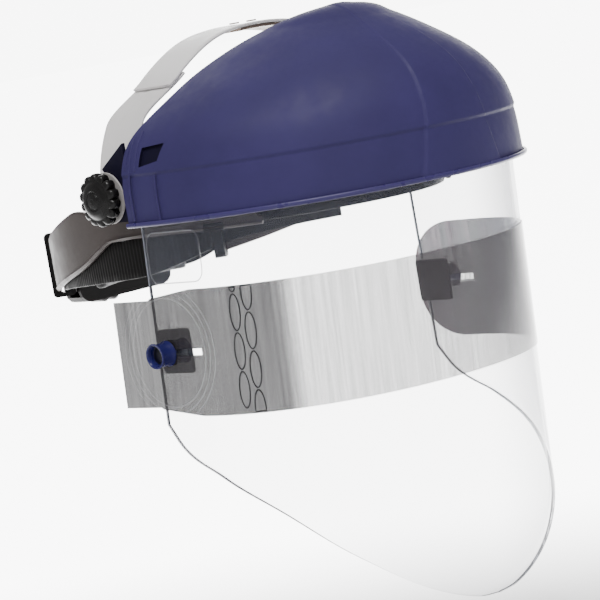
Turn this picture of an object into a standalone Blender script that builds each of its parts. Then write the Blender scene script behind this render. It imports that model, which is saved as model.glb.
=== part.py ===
"""Face shield with a ratchet headband, a tilting crown and a curved clear window.

The wearer faces -Y and +Z is up.  The origin is the middle of the axis on which the crown tilts.
Lengths below are in millimetres, and "forward" is the distance towards -Y.
"""
import math

import bmesh
import bpy
import numpy as np
from mathutils import Matrix, Vector

MM = 0.001
GAP = 0.3                     # clearance between neighbouring solids
SIDES = {"right": -1, "left": 1}

# headband ring, an ellipse seen from above
RING_FORWARD = -22.0
RING_LONG, RING_WIDE = 118.0, 84.0
BAND_HIGH, BAND_LOW = 7.0, -23.0
BAND_WALL = 2.0
REAR_DROP = 36.0              # how much lower the nape is than the brow
REAR_REACH = 140.0

# crown
CROWN_WALL = 2.2
RIM_Z = -14.5
CROWN_Z = (RIM_Z, 10.0, 27.0, 42.0, 56.0, 67.0, 73.4, 75.5)
CROWN_FRONT = (141.5, 140.0, 136.0, 127.0, 110.0, 91.0, 78.5, 71.8)
CROWN_REAR = (17.5, 17.5, 20.5, 29.0, 37.5, 53.0, 67.5, 71.5)
CROWN_HALF = (112.5, 111.0, 103.5, 85.0, 61.5, 39.0, 19.0, 0.3)
# blind pocket in each side of the crown: corners as (forward, z), depth, and how far out it cuts
POCKET = ((30.0, 13.5), (42.0, 15.5), (45.0, 23.5), (31.0, 22.5))
POCKET_DEPTH, POCKET_REACH = 1.4, 125.0

# window: a sheet bent to a deep curve that opens a little at the sides and leans back
WINDOW_TOP = 4.5
WINDOW_WALL = 2.0
WINDOW_STRAIGHT, WINDOW_DEPTH, WINDOW_HALF = 38.0, 96.6, 95.0
WINDOW_POWER = 2.13
SIDE_FLARE, DEPTH_LOSS, LEAN = 0.035, 0.064, 0.025
WINDOW_REAR = 5.0
WINDOW_NOTCH, NOTCH_Z = 14.0, -12.0    # the hidden upper corner is cut back to clear the hub
BOTTOM_ALONG = (0.0, 10.0, 38.0, 70.0, 104.0, 140.0, 170.0, 184.0)
BOTTOM_Z = (-117.0, -129.0, -144.0, -162.0, -188.0, -212.0, -224.0, -225.5)

# pegs and strip that hold the window's top edge; places are (distance along the window, side)
PEG_Z, PEG_RADIUS, PEG_PROUD = -3.0, 2.6, 1.2
PEG_PLACES = ((22.0, -1), (105.0, -1), (183.0, -1), (105.0, 1), (22.0, 1))
RETAINER_IN, RETAINER_OUT = -4.6, -2.4
RETAINER_LOW, RETAINER_HIGH = -11.5, 2.5

# film band outside the window
FILM_WALL = 0.4
FILM_TAB = 29.0               # how far the pull tab passes the window's rear edge
FILM_MID_Z, FILM_HALF = -81.0, 31.5
FILM_FAR_RADIUS = 30.0
BUTTON_FORWARD, BUTTON_Z = 13.0, -80.5
BUTTON_ALONG = 9.65           # the same place, measured along the window from its rear edge
BUTTON_RADIUS, BUTTON_LENGTH = 6.5, 9.0
PAD_SIZE, PAD_WALL = 22.4, 2.5
SLOT_HALF = 1.65
SHANK = 1.3

# hubs, measured outwards from the middle plane
BOSS_OUT, BOSS_RADIUS = 103.5, 11.0
WASHER_OUT = 105.5
BRACKET_IN, BRACKET_OUT = 105.8, 107.8
SPRING_IN, SPRING_OUT = 108.1, 109.1
KNOB_IN, KNOB_OUT, KNOB_RADIUS, KNOB_LOBES = 109.4, 118.0, 13.4, 14
STUD_RADIUS, STUD_TIP = 4.0, 114.5
STUD_HEAD_RADIUS, STUD_HEAD_IN, STUD_HEAD_OUT = 6.2, 90.4, 93.6

# side arms
ARM_IN, ARM_OUT = 5.2, 7.8
ARM_FRONT, ARM_REAR = 47.0, 138.0      # degrees round the ring from the brow
ARM_LOW_AT = (-120.0, -87.0, -53.0, -36.0, -27.0, -18.0, 70.0)
ARM_LOW_Z = (-52.4, -45.0, -36.0, -28.6, -24.6, -23.7, -24.0)
RIVET_AT, RIVET_DROP = 54.0, 9.0

# flexible rear straps, inside the arms
STRAP_REAR = 162.0                     # degrees round the ring from the brow
# the left strap is drawn further back than the right one, and rides higher in its keeper
STRAP_FRONT = {-1: 62.0, 1: 100.0}
STRAP_RAISED = {-1: 0.0, 1: 5.0}
STRAP_OUT, STRAP_THICK, STRAP_TALL = 3.9, 1.4, 20.0
NAPE_TURN, NAPE_HALF = 26, 10.0        # the nape pad's half length in degrees and half height
STRAP_LOW_AT = (-140.0, -112.0, -82.0, -38.0, -4.0, 15.0, 35.0)
STRAP_LOW_Z = (-56.0, -51.2, -48.0, -45.0, -42.6, -38.6, -33.0)

# crown strap
STRAP_TOP, STRAP_BASE = 69.6, -10.0
STRAP_LOW_FORWARD, STRAP_FORWARD_RUN = -17.0, 14.5   # the arch's foot, and how far it runs on
STRAP_HALF, STRAP_POWER = 87.9, 2.2
PIN_RADIUS, PIN_TALL, PIN_Z = 2.6, 0.8, 73.9
STRAP_WIDE, STRAP_WALL = 29.0, 1.4

# ratchet
REAR_Z = -46.0
HOUSING_HALF, HOUSING_HIGH = 33.0, 17.0
RACK_IN, RACK_OUT = 137.4, 139.2       # distances behind the hub axis
PITCH, PINION_TEETH = 5.0, 10
TOOTH_TIP, TOOTH_ROOT = 0.75, 0.95
RATCHET_KNOB_RADIUS, RATCHET_LOBES = 21.0, 16


def point(x, forward, z):
    return Vector((x, -forward, z)) * MM


def clear_scene():
    for old in list(bpy.data.objects):
        bpy.data.objects.remove(old, do_unlink=True)


def collection(name):
    made = bpy.data.collections.new(name)
    bpy.context.scene.collection.children.link(made)
    return made


def material(name, colour, rough, metal=0.0, alpha=1.0):
    made = bpy.data.materials.new(name)
    made.use_nodes = True
    shader = made.node_tree.nodes["Principled BSDF"]
    shader.inputs["Base Color"].default_value = (*colour, 1.0)
    shader.inputs["Roughness"].default_value = rough
    shader.inputs["Metallic"].default_value = metal
    shader.inputs["Alpha"].default_value = alpha
    return made


clear_scene()
PARTS = collection("face_shield")
CUTTERS = collection("cutters")


def add_mesh(name, bm, colour=None, where=None, smooth=True):
    """Turn a bmesh into an object in the parts or the cutters collection."""
    bmesh.ops.recalc_face_normals(bm, faces=bm.faces)
    if bm.calc_volume(signed=True) < 0:
        bmesh.ops.reverse_faces(bm, faces=bm.faces)
    mesh = bpy.data.meshes.new(name)
    bm.to_mesh(mesh)
    bm.free()
    if smooth:
        mesh.shade_smooth()
        mesh.set_sharp_from_angle(angle=math.radians(35))
    made = bpy.data.objects.new(name, mesh)
    (where or PARTS).objects.link(made)
    if where is CUTTERS:
        made.hide_render = True
        made.display_type = 'WIRE'
    if colour:
        made.data.materials.append(colour)
    return made


def grid(rows):
    """An open surface through rows of points, wound so that it faces outwards."""
    bm = bmesh.new()
    made = [[bm.verts.new(p) for p in row] for row in rows]
    for low, high in zip(made, made[1:]):
        for i in range(len(low) - 1):
            bm.faces.new((low[i], low[i + 1], high[i + 1], high[i]))
    return bm


def shell(name, rows, wall, colour, side=-1.0):
    """A sheet with Solidify.  side -1 grows the wall behind the faces, 1 in front of them."""
    bm = grid(rows)
    bmesh.ops.remove_doubles(bm, verts=bm.verts, dist=0.01 * MM)
    mesh = bpy.data.meshes.new(name)
    bm.to_mesh(mesh)
    bm.free()
    mesh.shade_smooth()
    mesh.set_sharp_from_angle(angle=math.radians(35))
    made = bpy.data.objects.new(name, mesh)
    PARTS.objects.link(made)
    made.data.materials.append(colour)
    solid = made.modifiers.new("wall", 'SOLIDIFY')
    solid.thickness = wall * MM
    solid.offset = side
    solid.use_even_offset = True
    return made


def prism(name, outline, low, high, axis, colour=None, where=None):
    """An outline of (a, b) pairs carried from low to high along an axis.

    axis X takes (forward, z) pairs, axis Y takes (x, z) pairs with depths given forward,
    and axis Z takes (x, forward) pairs.
    """
    place = {
        "X": lambda a, b, c: point(c, a, b),
        "Y": lambda a, b, c: point(a, c, b),
        "Z": lambda a, b, c: point(a, b, c),
    }[axis]
    bm = bmesh.new()
    base = bm.faces.new([bm.verts.new(place(a, b, low)) for a, b in outline])
    top = bmesh.ops.extrude_face_region(bm, geom=[base])
    shift = place(0, 0, high) - place(0, 0, low)
    moved = [v for v in top["geom"] if isinstance(v, bmesh.types.BMVert)]
    bmesh.ops.translate(bm, verts=moved, vec=shift)
    return add_mesh(name, bm, colour, where)


def circle(radius, count=32, a=0.0, b=0.0):
    turns = [2 * math.pi * i / count for i in range(count)]
    return [(a + radius * math.cos(t), b + radius * math.sin(t)) for t in turns]


def lobed(radius, depth, lobes, per_lobe=6, a=0.0, b=0.0):
    """A scalloped circle, with narrow valleys between round lobes."""
    out = []
    for i in range(lobes * per_lobe):
        t = 2 * math.pi * i / (lobes * per_lobe)
        r = radius - depth * (1 - abs(math.sin(lobes * t / 2))) ** 1.5
        out.append((a + r * math.cos(t), b + r * math.sin(t)))
    return out


def boolean(target, cutter, how='DIFFERENCE'):
    cut = target.modifiers.new("cut", 'BOOLEAN')
    cut.operation = how
    cut.object = cutter
    cut.solver = 'EXACT'
    return cut


def fused(name, pieces, colour):
    """Join overlapping prisms into one closed mesh, for shapes that no single prism makes."""
    first = pieces[0]
    for other in pieces[1:]:
        boolean(first, other, 'UNION')
    bpy.context.view_layer.update()
    evaluated = first.evaluated_get(bpy.context.evaluated_depsgraph_get())
    mesh = bpy.data.meshes.new_from_object(evaluated)
    for piece in pieces:
        bpy.data.objects.remove(piece, do_unlink=True)
    mesh.name = name
    mesh.materials.clear()
    mesh.materials.append(colour)
    made = bpy.data.objects.new(name, mesh)
    PARTS.objects.link(made)
    return made


def origin_at(target, place):
    """Move an object's origin to a place without moving its shape."""
    target.data.transform(Matrix.Translation(-place))
    target.location = place


def through(x, xs, ys):
    """A smooth curve through points, by cubic pieces whose slopes are the chords' mean."""
    xs, ys = np.asarray(xs, float), np.asarray(ys, float)
    chords = np.diff(ys) / np.diff(xs)
    slopes = np.concatenate([chords[:1], (chords[1:] + chords[:-1]) / 2, chords[-1:]])
    i = np.clip(np.searchsorted(xs, x) - 1, 0, len(xs) - 2)
    wide = xs[i + 1] - xs[i]
    t = np.clip((x - xs[i]) / wide, 0.0, 1.0)
    rise = slopes[i] * wide * t * (1 - t) ** 2 - slopes[i + 1] * wide * t * t * (1 - t)
    return ys[i] + (ys[i + 1] - ys[i]) * t * t * (3 - 2 * t) + rise


def smooth_between(x, low, high):
    t = np.clip((x - low) / (high - low), 0.0, 1.0)
    return t * t * (3 - 2 * t)


# ---------------------------------------------------------------- curves that the pieces follow

def ring(degrees, out):
    """Headband ring: (x, forward) at an angle from the brow, grown outwards by a distance."""
    t = math.radians(degrees)
    x = (RING_WIDE + out) * math.sin(t)
    return x, RING_FORWARD + (RING_LONG + out) * math.cos(t)


def band_middle(forward):
    """Height of the headband's middle, level at the brow and dropping to the nape."""
    level = (BAND_HIGH + BAND_LOW) / 2
    back = np.clip(-forward / REAR_REACH, 0.0, 1.0)
    return level - (REAR_DROP + 2) * back ** 1.2


def window_outline(z, out=0.0, count=25, rear=WINDOW_REAR):
    """Half outline of the window from its rear edge to the front, grown outwards."""
    drop = RIM_Z - z
    half = WINDOW_HALF + SIDE_FLARE * drop + out
    depth = WINDOW_DEPTH - DEPTH_LOSS * drop + out
    start = WINDOW_STRAIGHT - LEAN * drop
    turn = np.linspace(0.0, math.pi / 2, 120)
    power = 2 / WINDOW_POWER
    x = half * np.cos(turn) ** power
    forward = start + depth * np.sin(turn) ** power
    x = np.concatenate([[half], x])
    forward = np.concatenate([[rear - LEAN * drop], forward])
    along = np.concatenate([[0.0], np.cumsum(np.hypot(np.diff(x), np.diff(forward)))])
    even = np.linspace(0.0, along[-1], count)
    return np.interp(even, along, x), np.interp(even, along, forward), even


def window_point(along, z, out=0.0, side=-1):
    """A point on the window by its distance from the rear edge, with its outward direction."""
    x, forward, length = window_outline(z, out, 181)
    here = np.array([np.interp(along, length, x), np.interp(along, length, forward)])
    near = np.array([np.interp(along + 2, length, x), np.interp(along + 2, length, forward)])
    if along < 0:
        here = np.array([x[0], forward[0] + along])
        near = here + np.array([0.0, 2.0])
    along_way = (near - here) / max(np.linalg.norm(near - here), 1e-9)
    outward = np.array([along_way[1], -along_way[0]])
    return side * here[0], here[1], side * outward[0], outward[1]


def crown_section(z, out=0.0, count=21):
    """Half section of the crown at a height, from its rear edge to the front."""
    front = through(z, CROWN_Z, CROWN_FRONT) + out
    rear = through(z, CROWN_Z, CROWN_REAR)
    half = through(z, CROWN_Z, CROWN_HALF) + out
    turn = np.linspace(0.0, math.pi / 2, count)
    return half * np.cos(turn), rear + (front - rear) * np.sin(turn)


def crown_height(t):
    """Height of the dome by a fraction from the crease to the top, on a smooth curve."""
    return CROWN_Z[1] + (CROWN_Z[-1] - CROWN_Z[1]) * math.sin(t * math.pi / 2)


def mirrored(x, forward):
    """Join a half outline to its mirror image, rear right to front to rear left."""
    xs = np.concatenate([-np.array(x), np.array(x)[-2::-1]])
    return xs, np.concatenate([forward, np.array(forward)[-2::-1]])


# ---------------------------------------------------------------- materials

BLUE = material("crown_blue", (0.035, 0.035, 0.20), 0.45)
BLACK = material("black_nylon", (0.015, 0.014, 0.014), 0.4)
TAUPE = material("taupe_plastic", (0.17, 0.15, 0.145), 0.5)
PALE = material("pale_plastic", (0.62, 0.60, 0.60), 0.45)
CLEAR = material("clear_polycarbonate", (0.92, 0.93, 0.97), 0.03, alpha=0.15)
FILM = material("tinted_film", (0.60, 0.58, 0.60), 0.08, alpha=0.35)
FOAM = material("black_foam", (0.02, 0.02, 0.02), 0.9)
STEEL = material("spring_steel", (0.55, 0.55, 0.56), 0.3, metal=1.0)
BUTTON = material("button_blue", (0.03, 0.035, 0.22), 0.3)


# ---------------------------------------------------------------- crown and window

def make_crown():
    heights = [RIM_Z, -2.0, CROWN_Z[1]] + [crown_height(t) for t in np.linspace(0.12, 1.0, 9)]
    rows = []
    for z in heights:
        xs, fs = mirrored(*crown_section(z))
        rows.append([point(x, f, z) for x, f in zip(xs, fs)])
    crown = shell("crown_shell", rows, CROWN_WALL, BLUE)
    for name, side in SIDES.items():
        boolean(crown, pocket_cutter(name, side))
    return crown


def crown_side(forward, z):
    """Half width of the shell's outside at a forward distance and a height."""
    front, rear, half = (through(z, CROWN_Z, row) for row in (CROWN_FRONT, CROWN_REAR, CROWN_HALF))
    share = (forward - rear) / (front - rear)
    return half * math.sqrt(1.0 - share * share)


def pocket_cutter(name, side):
    """A block whose inner face follows the shell, for a blind pocket behind the hub."""
    bm = bmesh.new()
    for forward, z in POCKET:
        for x in (crown_side(forward, z) - POCKET_DEPTH, POCKET_REACH):
            bm.verts.new(point(side * x, forward, z))
    bmesh.ops.convex_hull(bm, input=bm.verts)
    return add_mesh("pocket_cutter_" + name, bm, BLUE, CUTTERS)


def make_brackets():
    """Plates inside the skirt's rear ends, which carry the crown on the hubs."""
    for name, side in SIDES.items():
        turns = [math.radians(d) for d in range(90, 271, 20)]
        outline = [(12.5 * math.cos(t), 12.5 * math.sin(t)) for t in turns]
        outline += [(29.0, -12.5), (29.0, 7.5), (17.0, 9.0), (17.0, 26.0), (-1.5, 14.5)]
        low, high = sorted((side * BRACKET_IN, side * BRACKET_OUT))
        plate = prism("pivot_bracket_" + name, outline, low, high, "X", BLUE)
        low, high = sorted((side * 100.0, side * 112.0))
        hole = circle(STUD_RADIUS + GAP, 24)
        boolean(plate, prism("bracket_hole_" + name, hole, low, high, "X", where=CUTTERS))


def make_window():
    """The sheet, its lower edge cut to a long rounded point, with a hole at each peg."""
    rows = []
    fractions = np.linspace(0.0, 1.0, 31)
    bottom = through(fractions * BOTTOM_ALONG[-1], BOTTOM_ALONG, BOTTOM_Z)
    step = NOTCH_Z - 2.0
    levels = [(WINDOW_TOP, 0.0, WINDOW_NOTCH), (NOTCH_Z, 0.0, WINDOW_NOTCH)]
    levels += [(step, drop, WINDOW_REAR) for drop in (0.0, 0.2, 0.4, 0.6, 0.8, 1.0)]
    for start, drop, rear in levels:
        xs, fs, zs = [], [], []
        for i, share in enumerate(fractions):
            z = start + (bottom[i] - start) * drop
            x, f, along = window_outline(z, 0.0, 61, rear)
            xs.append(np.interp(share * along[-1], along, x))
            fs.append(np.interp(share * along[-1], along, f))
            zs.append(z)
        full_x, full_f = mirrored(xs, fs)
        full_z = np.concatenate([zs, zs[-2::-1]])
        rows.append([point(x, f, z) for x, f, z in zip(full_x, full_f, full_z)])
    window = shell("face_window", rows[::-1], WINDOW_WALL, CLEAR)
    for i, (along, side) in enumerate(PEG_PLACES):
        make_peg(window, i + 1, along, side)
    for name, side in SIDES.items():
        cutter = radial("shank_hole_" + name, BUTTON_ALONG, BUTTON_Z, side,
                        SHANK + GAP, -6.0, 3.0, None, CUTTERS)
        boolean(window, cutter)
    return window


def radial(name, along, z, side, radius, inner, outer, colour, where=None, count=16):
    """A cylinder that stands square to the window, between two distances from its face."""
    x, forward, out_x, out_f = window_point(along, z, 0.0, side)
    bm = bmesh.new()
    bmesh.ops.create_cone(bm, cap_ends=True, segments=count, radius1=radius * MM,
                          radius2=radius * MM, depth=(outer - inner) * MM)
    outward = Vector((out_x, -out_f, 0.0)).normalized()
    turn = outward.to_track_quat('Z', 'Y').to_matrix().to_4x4()
    middle = point(x, forward, z) + outward * ((inner + outer) / 2 * MM)
    bm.transform(Matrix.Translation(middle) @ turn)
    return add_mesh(name, bm, colour, where)


def make_peg(window, number, along, side):
    hole = radial("peg_hole_%d" % number, along, PEG_Z, side, PEG_RADIUS + GAP, -4.0, 3.0,
                  None, CUTTERS)
    boolean(window, hole)
    radial("window_peg_%d" % number, along, PEG_Z, side, PEG_RADIUS, RETAINER_OUT + GAP,
           PEG_PROUD, BLACK)


def make_retainer():
    """The strip behind the window's top edge that clamps it to the crown."""
    rows = []
    for z in (RETAINER_LOW, RETAINER_HIGH):
        x, f, _ = window_outline(z, RETAINER_OUT, 27, WINDOW_NOTCH + 2)
        xs, fs = mirrored(x, f)
        rows.append([point(a, b, z) for a, b in zip(xs, fs)])
    shell("window_retainer", rows, RETAINER_OUT - RETAINER_IN, BLACK)


def film_end(u):
    """Height limits of the film by distance u from its rounded far end."""
    u = min(max(u, 0.0), FILM_FAR_RADIUS)
    reach = math.sqrt(FILM_FAR_RADIUS ** 2 - (FILM_FAR_RADIUS - u) ** 2) / FILM_FAR_RADIUS
    return FILM_HALF * (0.22 + 0.78 * reach)


def make_film():
    """The tinted strip round the outside, square at its pull tab and round at the other end."""
    stations = np.concatenate([[-FILM_TAB, -14.0], np.linspace(0.0, 184.0, 25)])
    total = window_outline(FILM_MID_Z, 0.0, 61)[2][-1]
    rows = [[], [], []]
    run = [(s, -1) for s in stations] + [(s, 1) for s in stations[::-1] if s >= 0][1:]
    run += [(-6.0, 1)]
    for along, side in run:
        past_far = (along + 7.0) if side > 0 else 400.0
        half = film_end(past_far) if side > 0 and past_far < FILM_FAR_RADIUS else FILM_HALF
        if side < 0 and along < 0:
            half = 27.0
        elif side < 0 and along < 30:
            half = 28.0 + 3.5 * along / 30.0
        for row, sign in zip(rows, (-1, 0, 1)):
            z = FILM_MID_Z + sign * half
            at = along * total / 184.0 if along > 0 else along
            x, f, _, _ = window_point(at, z, 0.35, side)
            row.append(point(x, f, z))
    film = shell("film_band", rows, FILM_WALL, FILM, side=1.0)
    for name, side in SIDES.items():
        x = side * (WINDOW_HALF + 2.5)
        slot = [(BUTTON_FORWARD - 2.2, BUTTON_Z - SLOT_HALF), (38.0, BUTTON_Z - SLOT_HALF),
                (38.0, BUTTON_Z + SLOT_HALF), (BUTTON_FORWARD - 2.2, BUTTON_Z + SLOT_HALF)]
        low, high = sorted((x - 6.0, x + 6.0))
        boolean(film, prism("film_slot_" + name, slot, low, high, "X", where=CUTTERS))


def make_pads_and_buttons():
    for name, side in SIDES.items():
        x, forward, _, _ = window_point(BUTTON_ALONG, BUTTON_Z, 0.0, side)
        half = PAD_SIZE / 2
        square = [(forward - half, BUTTON_Z - half), (forward + half, BUTTON_Z - half),
                  (forward + half, BUTTON_Z + half), (forward - half, BUTTON_Z + half)]
        face = abs(x) - WINDOW_WALL - 1.1
        low, high = sorted((side * face, side * (face - PAD_WALL)))
        pad = prism("film_pad_" + name, square, low, high, "X", BLACK)
        hole = circle(SHANK + GAP, 16, forward, BUTTON_Z)
        low, high = sorted((side * (face + 2), side * (face - 1.6)))
        boolean(pad, prism("pad_hole_" + name, hole, low, high, "X", where=CUTTERS))
        base = abs(x) + 1.5
        low, high = sorted((side * base, side * (base + BUTTON_LENGTH)))
        cap = prism("cap", circle(BUTTON_RADIUS, 32, forward, BUTTON_Z), low, high, "X", BUTTON)
        low, high = sorted((side * (face - 1.2), side * (base + 2.0)))
        shank = prism("shank", circle(SHANK, 16, forward, BUTTON_Z), low, high, "X", BUTTON)
        button = fused("film_button_" + name, [cap, shank], BUTTON)
        low, high = sorted((side * (base + 5.0), side * (base + 20.0)))
        dish = circle(BUTTON_RADIUS - 1.3, 28, forward, BUTTON_Z)
        boolean(button, prism("button_dish_" + name, dish, low, high, "X", where=CUTTERS))
        origin_at(button, point(side * base, forward, BUTTON_Z))


# ---------------------------------------------------------------- hubs

def make_hubs():
    for name, side in SIDES.items():
        def disc(label, inner, outer, outline, colour=None, where=None):
            low, high = sorted((side * inner, side * outer))
            return prism(label + name, outline, low, high, "X", colour, where)

        bore = STUD_RADIUS + GAP
        washer = disc("friction_washer_", BOSS_OUT + GAP, WASHER_OUT, circle(12.0, 36), TAUPE)
        boolean(washer, disc("washer_hole_", 100.0, 108.0, circle(bore, 24), None, CUTTERS))
        spring = disc("spring_washer_", SPRING_IN, SPRING_OUT, circle(9.0, 32), STEEL)
        boolean(spring, disc("spring_hole_", 107.0, 111.0, circle(bore, 24), None, CUTTERS))
        head = disc("stud_head_", STUD_HEAD_IN, STUD_HEAD_OUT, circle(STUD_HEAD_RADIUS, 28))
        shaft = disc("stud_shaft_", STUD_HEAD_IN + 1, STUD_TIP, circle(STUD_RADIUS, 28))
        fused("pivot_stud_" + name, [head, shaft], STEEL)
        knob = disc("tilt_knob_", KNOB_IN, KNOB_OUT, lobed(KNOB_RADIUS, 1.9, KNOB_LOBES, 5),
                    BLACK)
        boolean(knob, disc("knob_bore_", KNOB_IN - 2, STUD_TIP + 0.5, circle(bore, 24), None,
                           CUTTERS))
        origin_at(knob, point(side * KNOB_IN, 0.0, 0.0))


# ---------------------------------------------------------------- headband

def band_strip(name, angles, out, wall, top, bottom, colour):
    """A strip that follows the ring; top and bottom give its edges from the middle height."""
    rows = [[], [], []]
    for degrees in angles:
        x, forward = ring(degrees, out + wall)
        middle = band_middle(forward)
        high, low = middle + top(degrees, forward), middle + bottom(degrees, forward)
        for row, z in zip(rows, (low, (low + high) / 2, high)):
            row.append(point(-x, forward, z))
    return shell(name, rows, wall, colour)


def steps(first, last, count):
    return list(np.linspace(first, last, count))


def make_brow():
    half = (BAND_HIGH - BAND_LOW) / 2
    band_strip("brow_band", steps(96, -96, 41), 0.0, BAND_WALL,
               lambda d, f: half - 5.0 * smooth_between(abs(d), 60, 96),
               lambda d, f: -half + 5.0 * smooth_between(abs(d), 60, 96), BLACK)
    band_strip("sweatband", steps(60, -60, 25), -6.6, 6.2,
               lambda d, f: half - 1.5, lambda d, f: -half + 0.4, FOAM)


def arm_top(degrees, forward):
    boss = 22.0 * np.exp(-(forward / 16.0) ** 2)
    slim = -3.0 + 17.0 * smooth_between(degrees, 84, 108)
    return max(slim, boss)


def make_arms():
    """Side arms: slim under the rim, a boss at the hub, and a broad wing down to the nape."""
    for name, side in SIDES.items():
        angles = steps(ARM_FRONT, ARM_REAR, 33)
        angles = angles if side < 0 else angles[::-1]
        rows = [[], [], []]
        for degrees in angles:
            x, forward = ring(degrees, ARM_OUT)
            middle = band_middle(forward)
            high = middle + arm_top(degrees, forward)
            low = through(forward, ARM_LOW_AT, ARM_LOW_Z)
            for row, z in zip(rows, (low, (low + high) / 2, high)):
                row.append(point(side * x, forward, z))
        rows = [row[::-1] for row in rows]
        arm = shell("side_arm_" + name, rows, ARM_OUT - ARM_IN, TAUPE)
        low, high = sorted((side * 88.6, side * BOSS_OUT))
        boss = prism("arm_boss_" + name, circle(BOSS_RADIUS, 32), low, high, "X",
                     where=CUTTERS)
        boolean(arm, boss, 'UNION')
        low, high = sorted((side * 80.0, side * 106.0))
        bore = circle(STUD_RADIUS + GAP, 24)
        boolean(arm, prism("arm_bore_" + name, bore, low, high, "X", where=CUTTERS))
        low, high = sorted((side * 80.0, side * (STUD_HEAD_OUT + GAP)))
        pocket = circle(STUD_HEAD_RADIUS + GAP, 28)
        boolean(arm, prism("stud_pocket_" + name, pocket, low, high, "X", where=CUTTERS))
        ring_peg("arm_rivet_" + name, side, RIVET_AT, 1.7, -0.2, 7.6, STEEL)
        for target, label in ((arm, "arm"), (bpy.data.objects["brow_band"], "band")):
            hole = ring_peg(label + "_rivet_hole_" + name, side, RIVET_AT, 2.0, -3.0, 12.0,
                            None, CUTTERS)
            boolean(target, hole)


def rivet_frame(side, degrees):
    x, forward = ring(degrees, 0.0)
    ahead_x, ahead_f = ring(degrees + 1.0, 0.0)
    along = Vector((side * (ahead_x - x), -(ahead_f - forward), 0.0)).normalized()
    outward = Vector((along.y, -along.x, 0.0)) * side
    return point(side * x, forward, band_middle(forward) - RIVET_DROP), outward


def ring_peg(name, side, degrees, radius, inner, outer, colour=None, where=None):
    base, outward = rivet_frame(side, degrees)
    bm = bmesh.new()
    bmesh.ops.create_cone(bm, cap_ends=True, segments=16, radius1=radius * MM,
                          radius2=radius * MM, depth=(outer - inner) * MM)
    turn = outward.to_track_quat('Z', 'Y').to_matrix().to_4x4()
    bm.transform(Matrix.Translation(base + outward * ((inner + outer) / 2 * MM)) @ turn)
    return add_mesh(name, bm, colour, where)


def make_keepers():
    """Black loops at the arms' rear ends, which hold the flexible rear straps."""
    for name, side in SIDES.items():
        x, forward = ring(ARM_REAR + 1.6, 0.0)
        ahead_x, ahead_f = ring(ARM_REAR + 3.6, 0.0)
        along = Vector((side * (ahead_x - x), -(ahead_f - forward), 0.0)).normalized()
        outward = Vector((along.y, -along.x, 0.0)) * side
        middle = point(side * x, forward, band_middle(forward)) + outward * 4.0 * MM

        def block(label, length, width, height, where):
            bm = bmesh.new()
            bmesh.ops.create_cube(bm, size=1.0)
            frame = Matrix((along, outward, Vector((0, 0, 1)))).transposed().to_4x4()
            size = Matrix.Diagonal((length * MM, width * MM, height * MM, 1.0))
            bm.transform(Matrix.Translation(middle) @ frame @ size)
            return add_mesh(label, bm, BLACK, where, smooth=False)

        loop = block("strap_keeper_" + name, 7.0, 12.4, 35.0, PARTS)
        boolean(loop, block("keeper_slot_" + name, 12.0, 8.8, 31.0, CUTTERS))


def rear_path(side, out, start, count=35):
    """The flexible strap's route: round the ring, then straight along X into the housing."""
    route = []
    straight = -(RACK_IN - GAP - 0.8)
    for degrees in np.linspace(start, STRAP_REAR, count):
        x, forward = ring(degrees, out)
        into = smooth_between(-x, -56.0, -31.0)
        raised = STRAP_RAISED[side] * (1 - smooth_between(degrees, 133.0, 150.0))
        route.append((side * x, forward + (straight - forward) * into, raised))
    route.append((side * 18.0, straight, 0.0))
    return route


def make_rear_straps():
    for name, side in SIDES.items():
        rows = [[], [], []]
        for x, forward, raised in rear_path(side, STRAP_OUT, STRAP_FRONT[side]):
            into = smooth_between(-abs(x), -60.0, -33.0) * (forward < RING_FORWARD)
            middle = through(forward, STRAP_LOW_AT, STRAP_LOW_Z) + STRAP_TALL / 2 + raised
            middle = middle * (1 - into) + REAR_Z * into
            for row, lift in zip(rows, (-0.5, 0.0, 0.5)):
                row.append(point(x, forward, middle + lift * STRAP_TALL))
        if side > 0:
            rows = [row[::-1] for row in rows]
        shell("rear_strap_" + name, rows[::-1], STRAP_THICK, BLACK)


# ---------------------------------------------------------------- crown strap

def strap_point(turn, out):
    """The strap's arch over the head: (x, z) by an angle from the right side to the left."""
    power = 2 / STRAP_POWER
    c, s = math.cos(turn), math.sin(turn)
    x = -(STRAP_HALF + out) * math.copysign(abs(c) ** power, c)
    return x, STRAP_BASE + (STRAP_TOP - STRAP_BASE + out) * s ** power


def strap_forward(z):
    """How far forward the strap's middle is: set back low down, further on near the top."""
    return STRAP_LOW_FORWARD + STRAP_FORWARD_RUN * smooth_between(z, 34.0, 54.0)


def strap_piece(name, first, last, out, count, colour, foot=None, wide=STRAP_WIDE, climb=0.0):
    rows = [[], []]
    places = [strap_point(t, out + climb * smooth_between(t, 0.95, 1.35))
              for t in np.linspace(first, last, count)]
    if foot == "right":
        places = [(places[0][0], STRAP_BASE - 8.0)] + places
    if foot == "left":
        places = places + [(places[-1][0], STRAP_BASE - 8.0)]
    for x, z in places:
        middle = strap_forward(z)
        rows[0].append(point(x, middle + wide / 2, z))
        rows[1].append(point(x, middle - wide / 2, z))
    return shell(name, rows, STRAP_WALL, colour)


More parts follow.
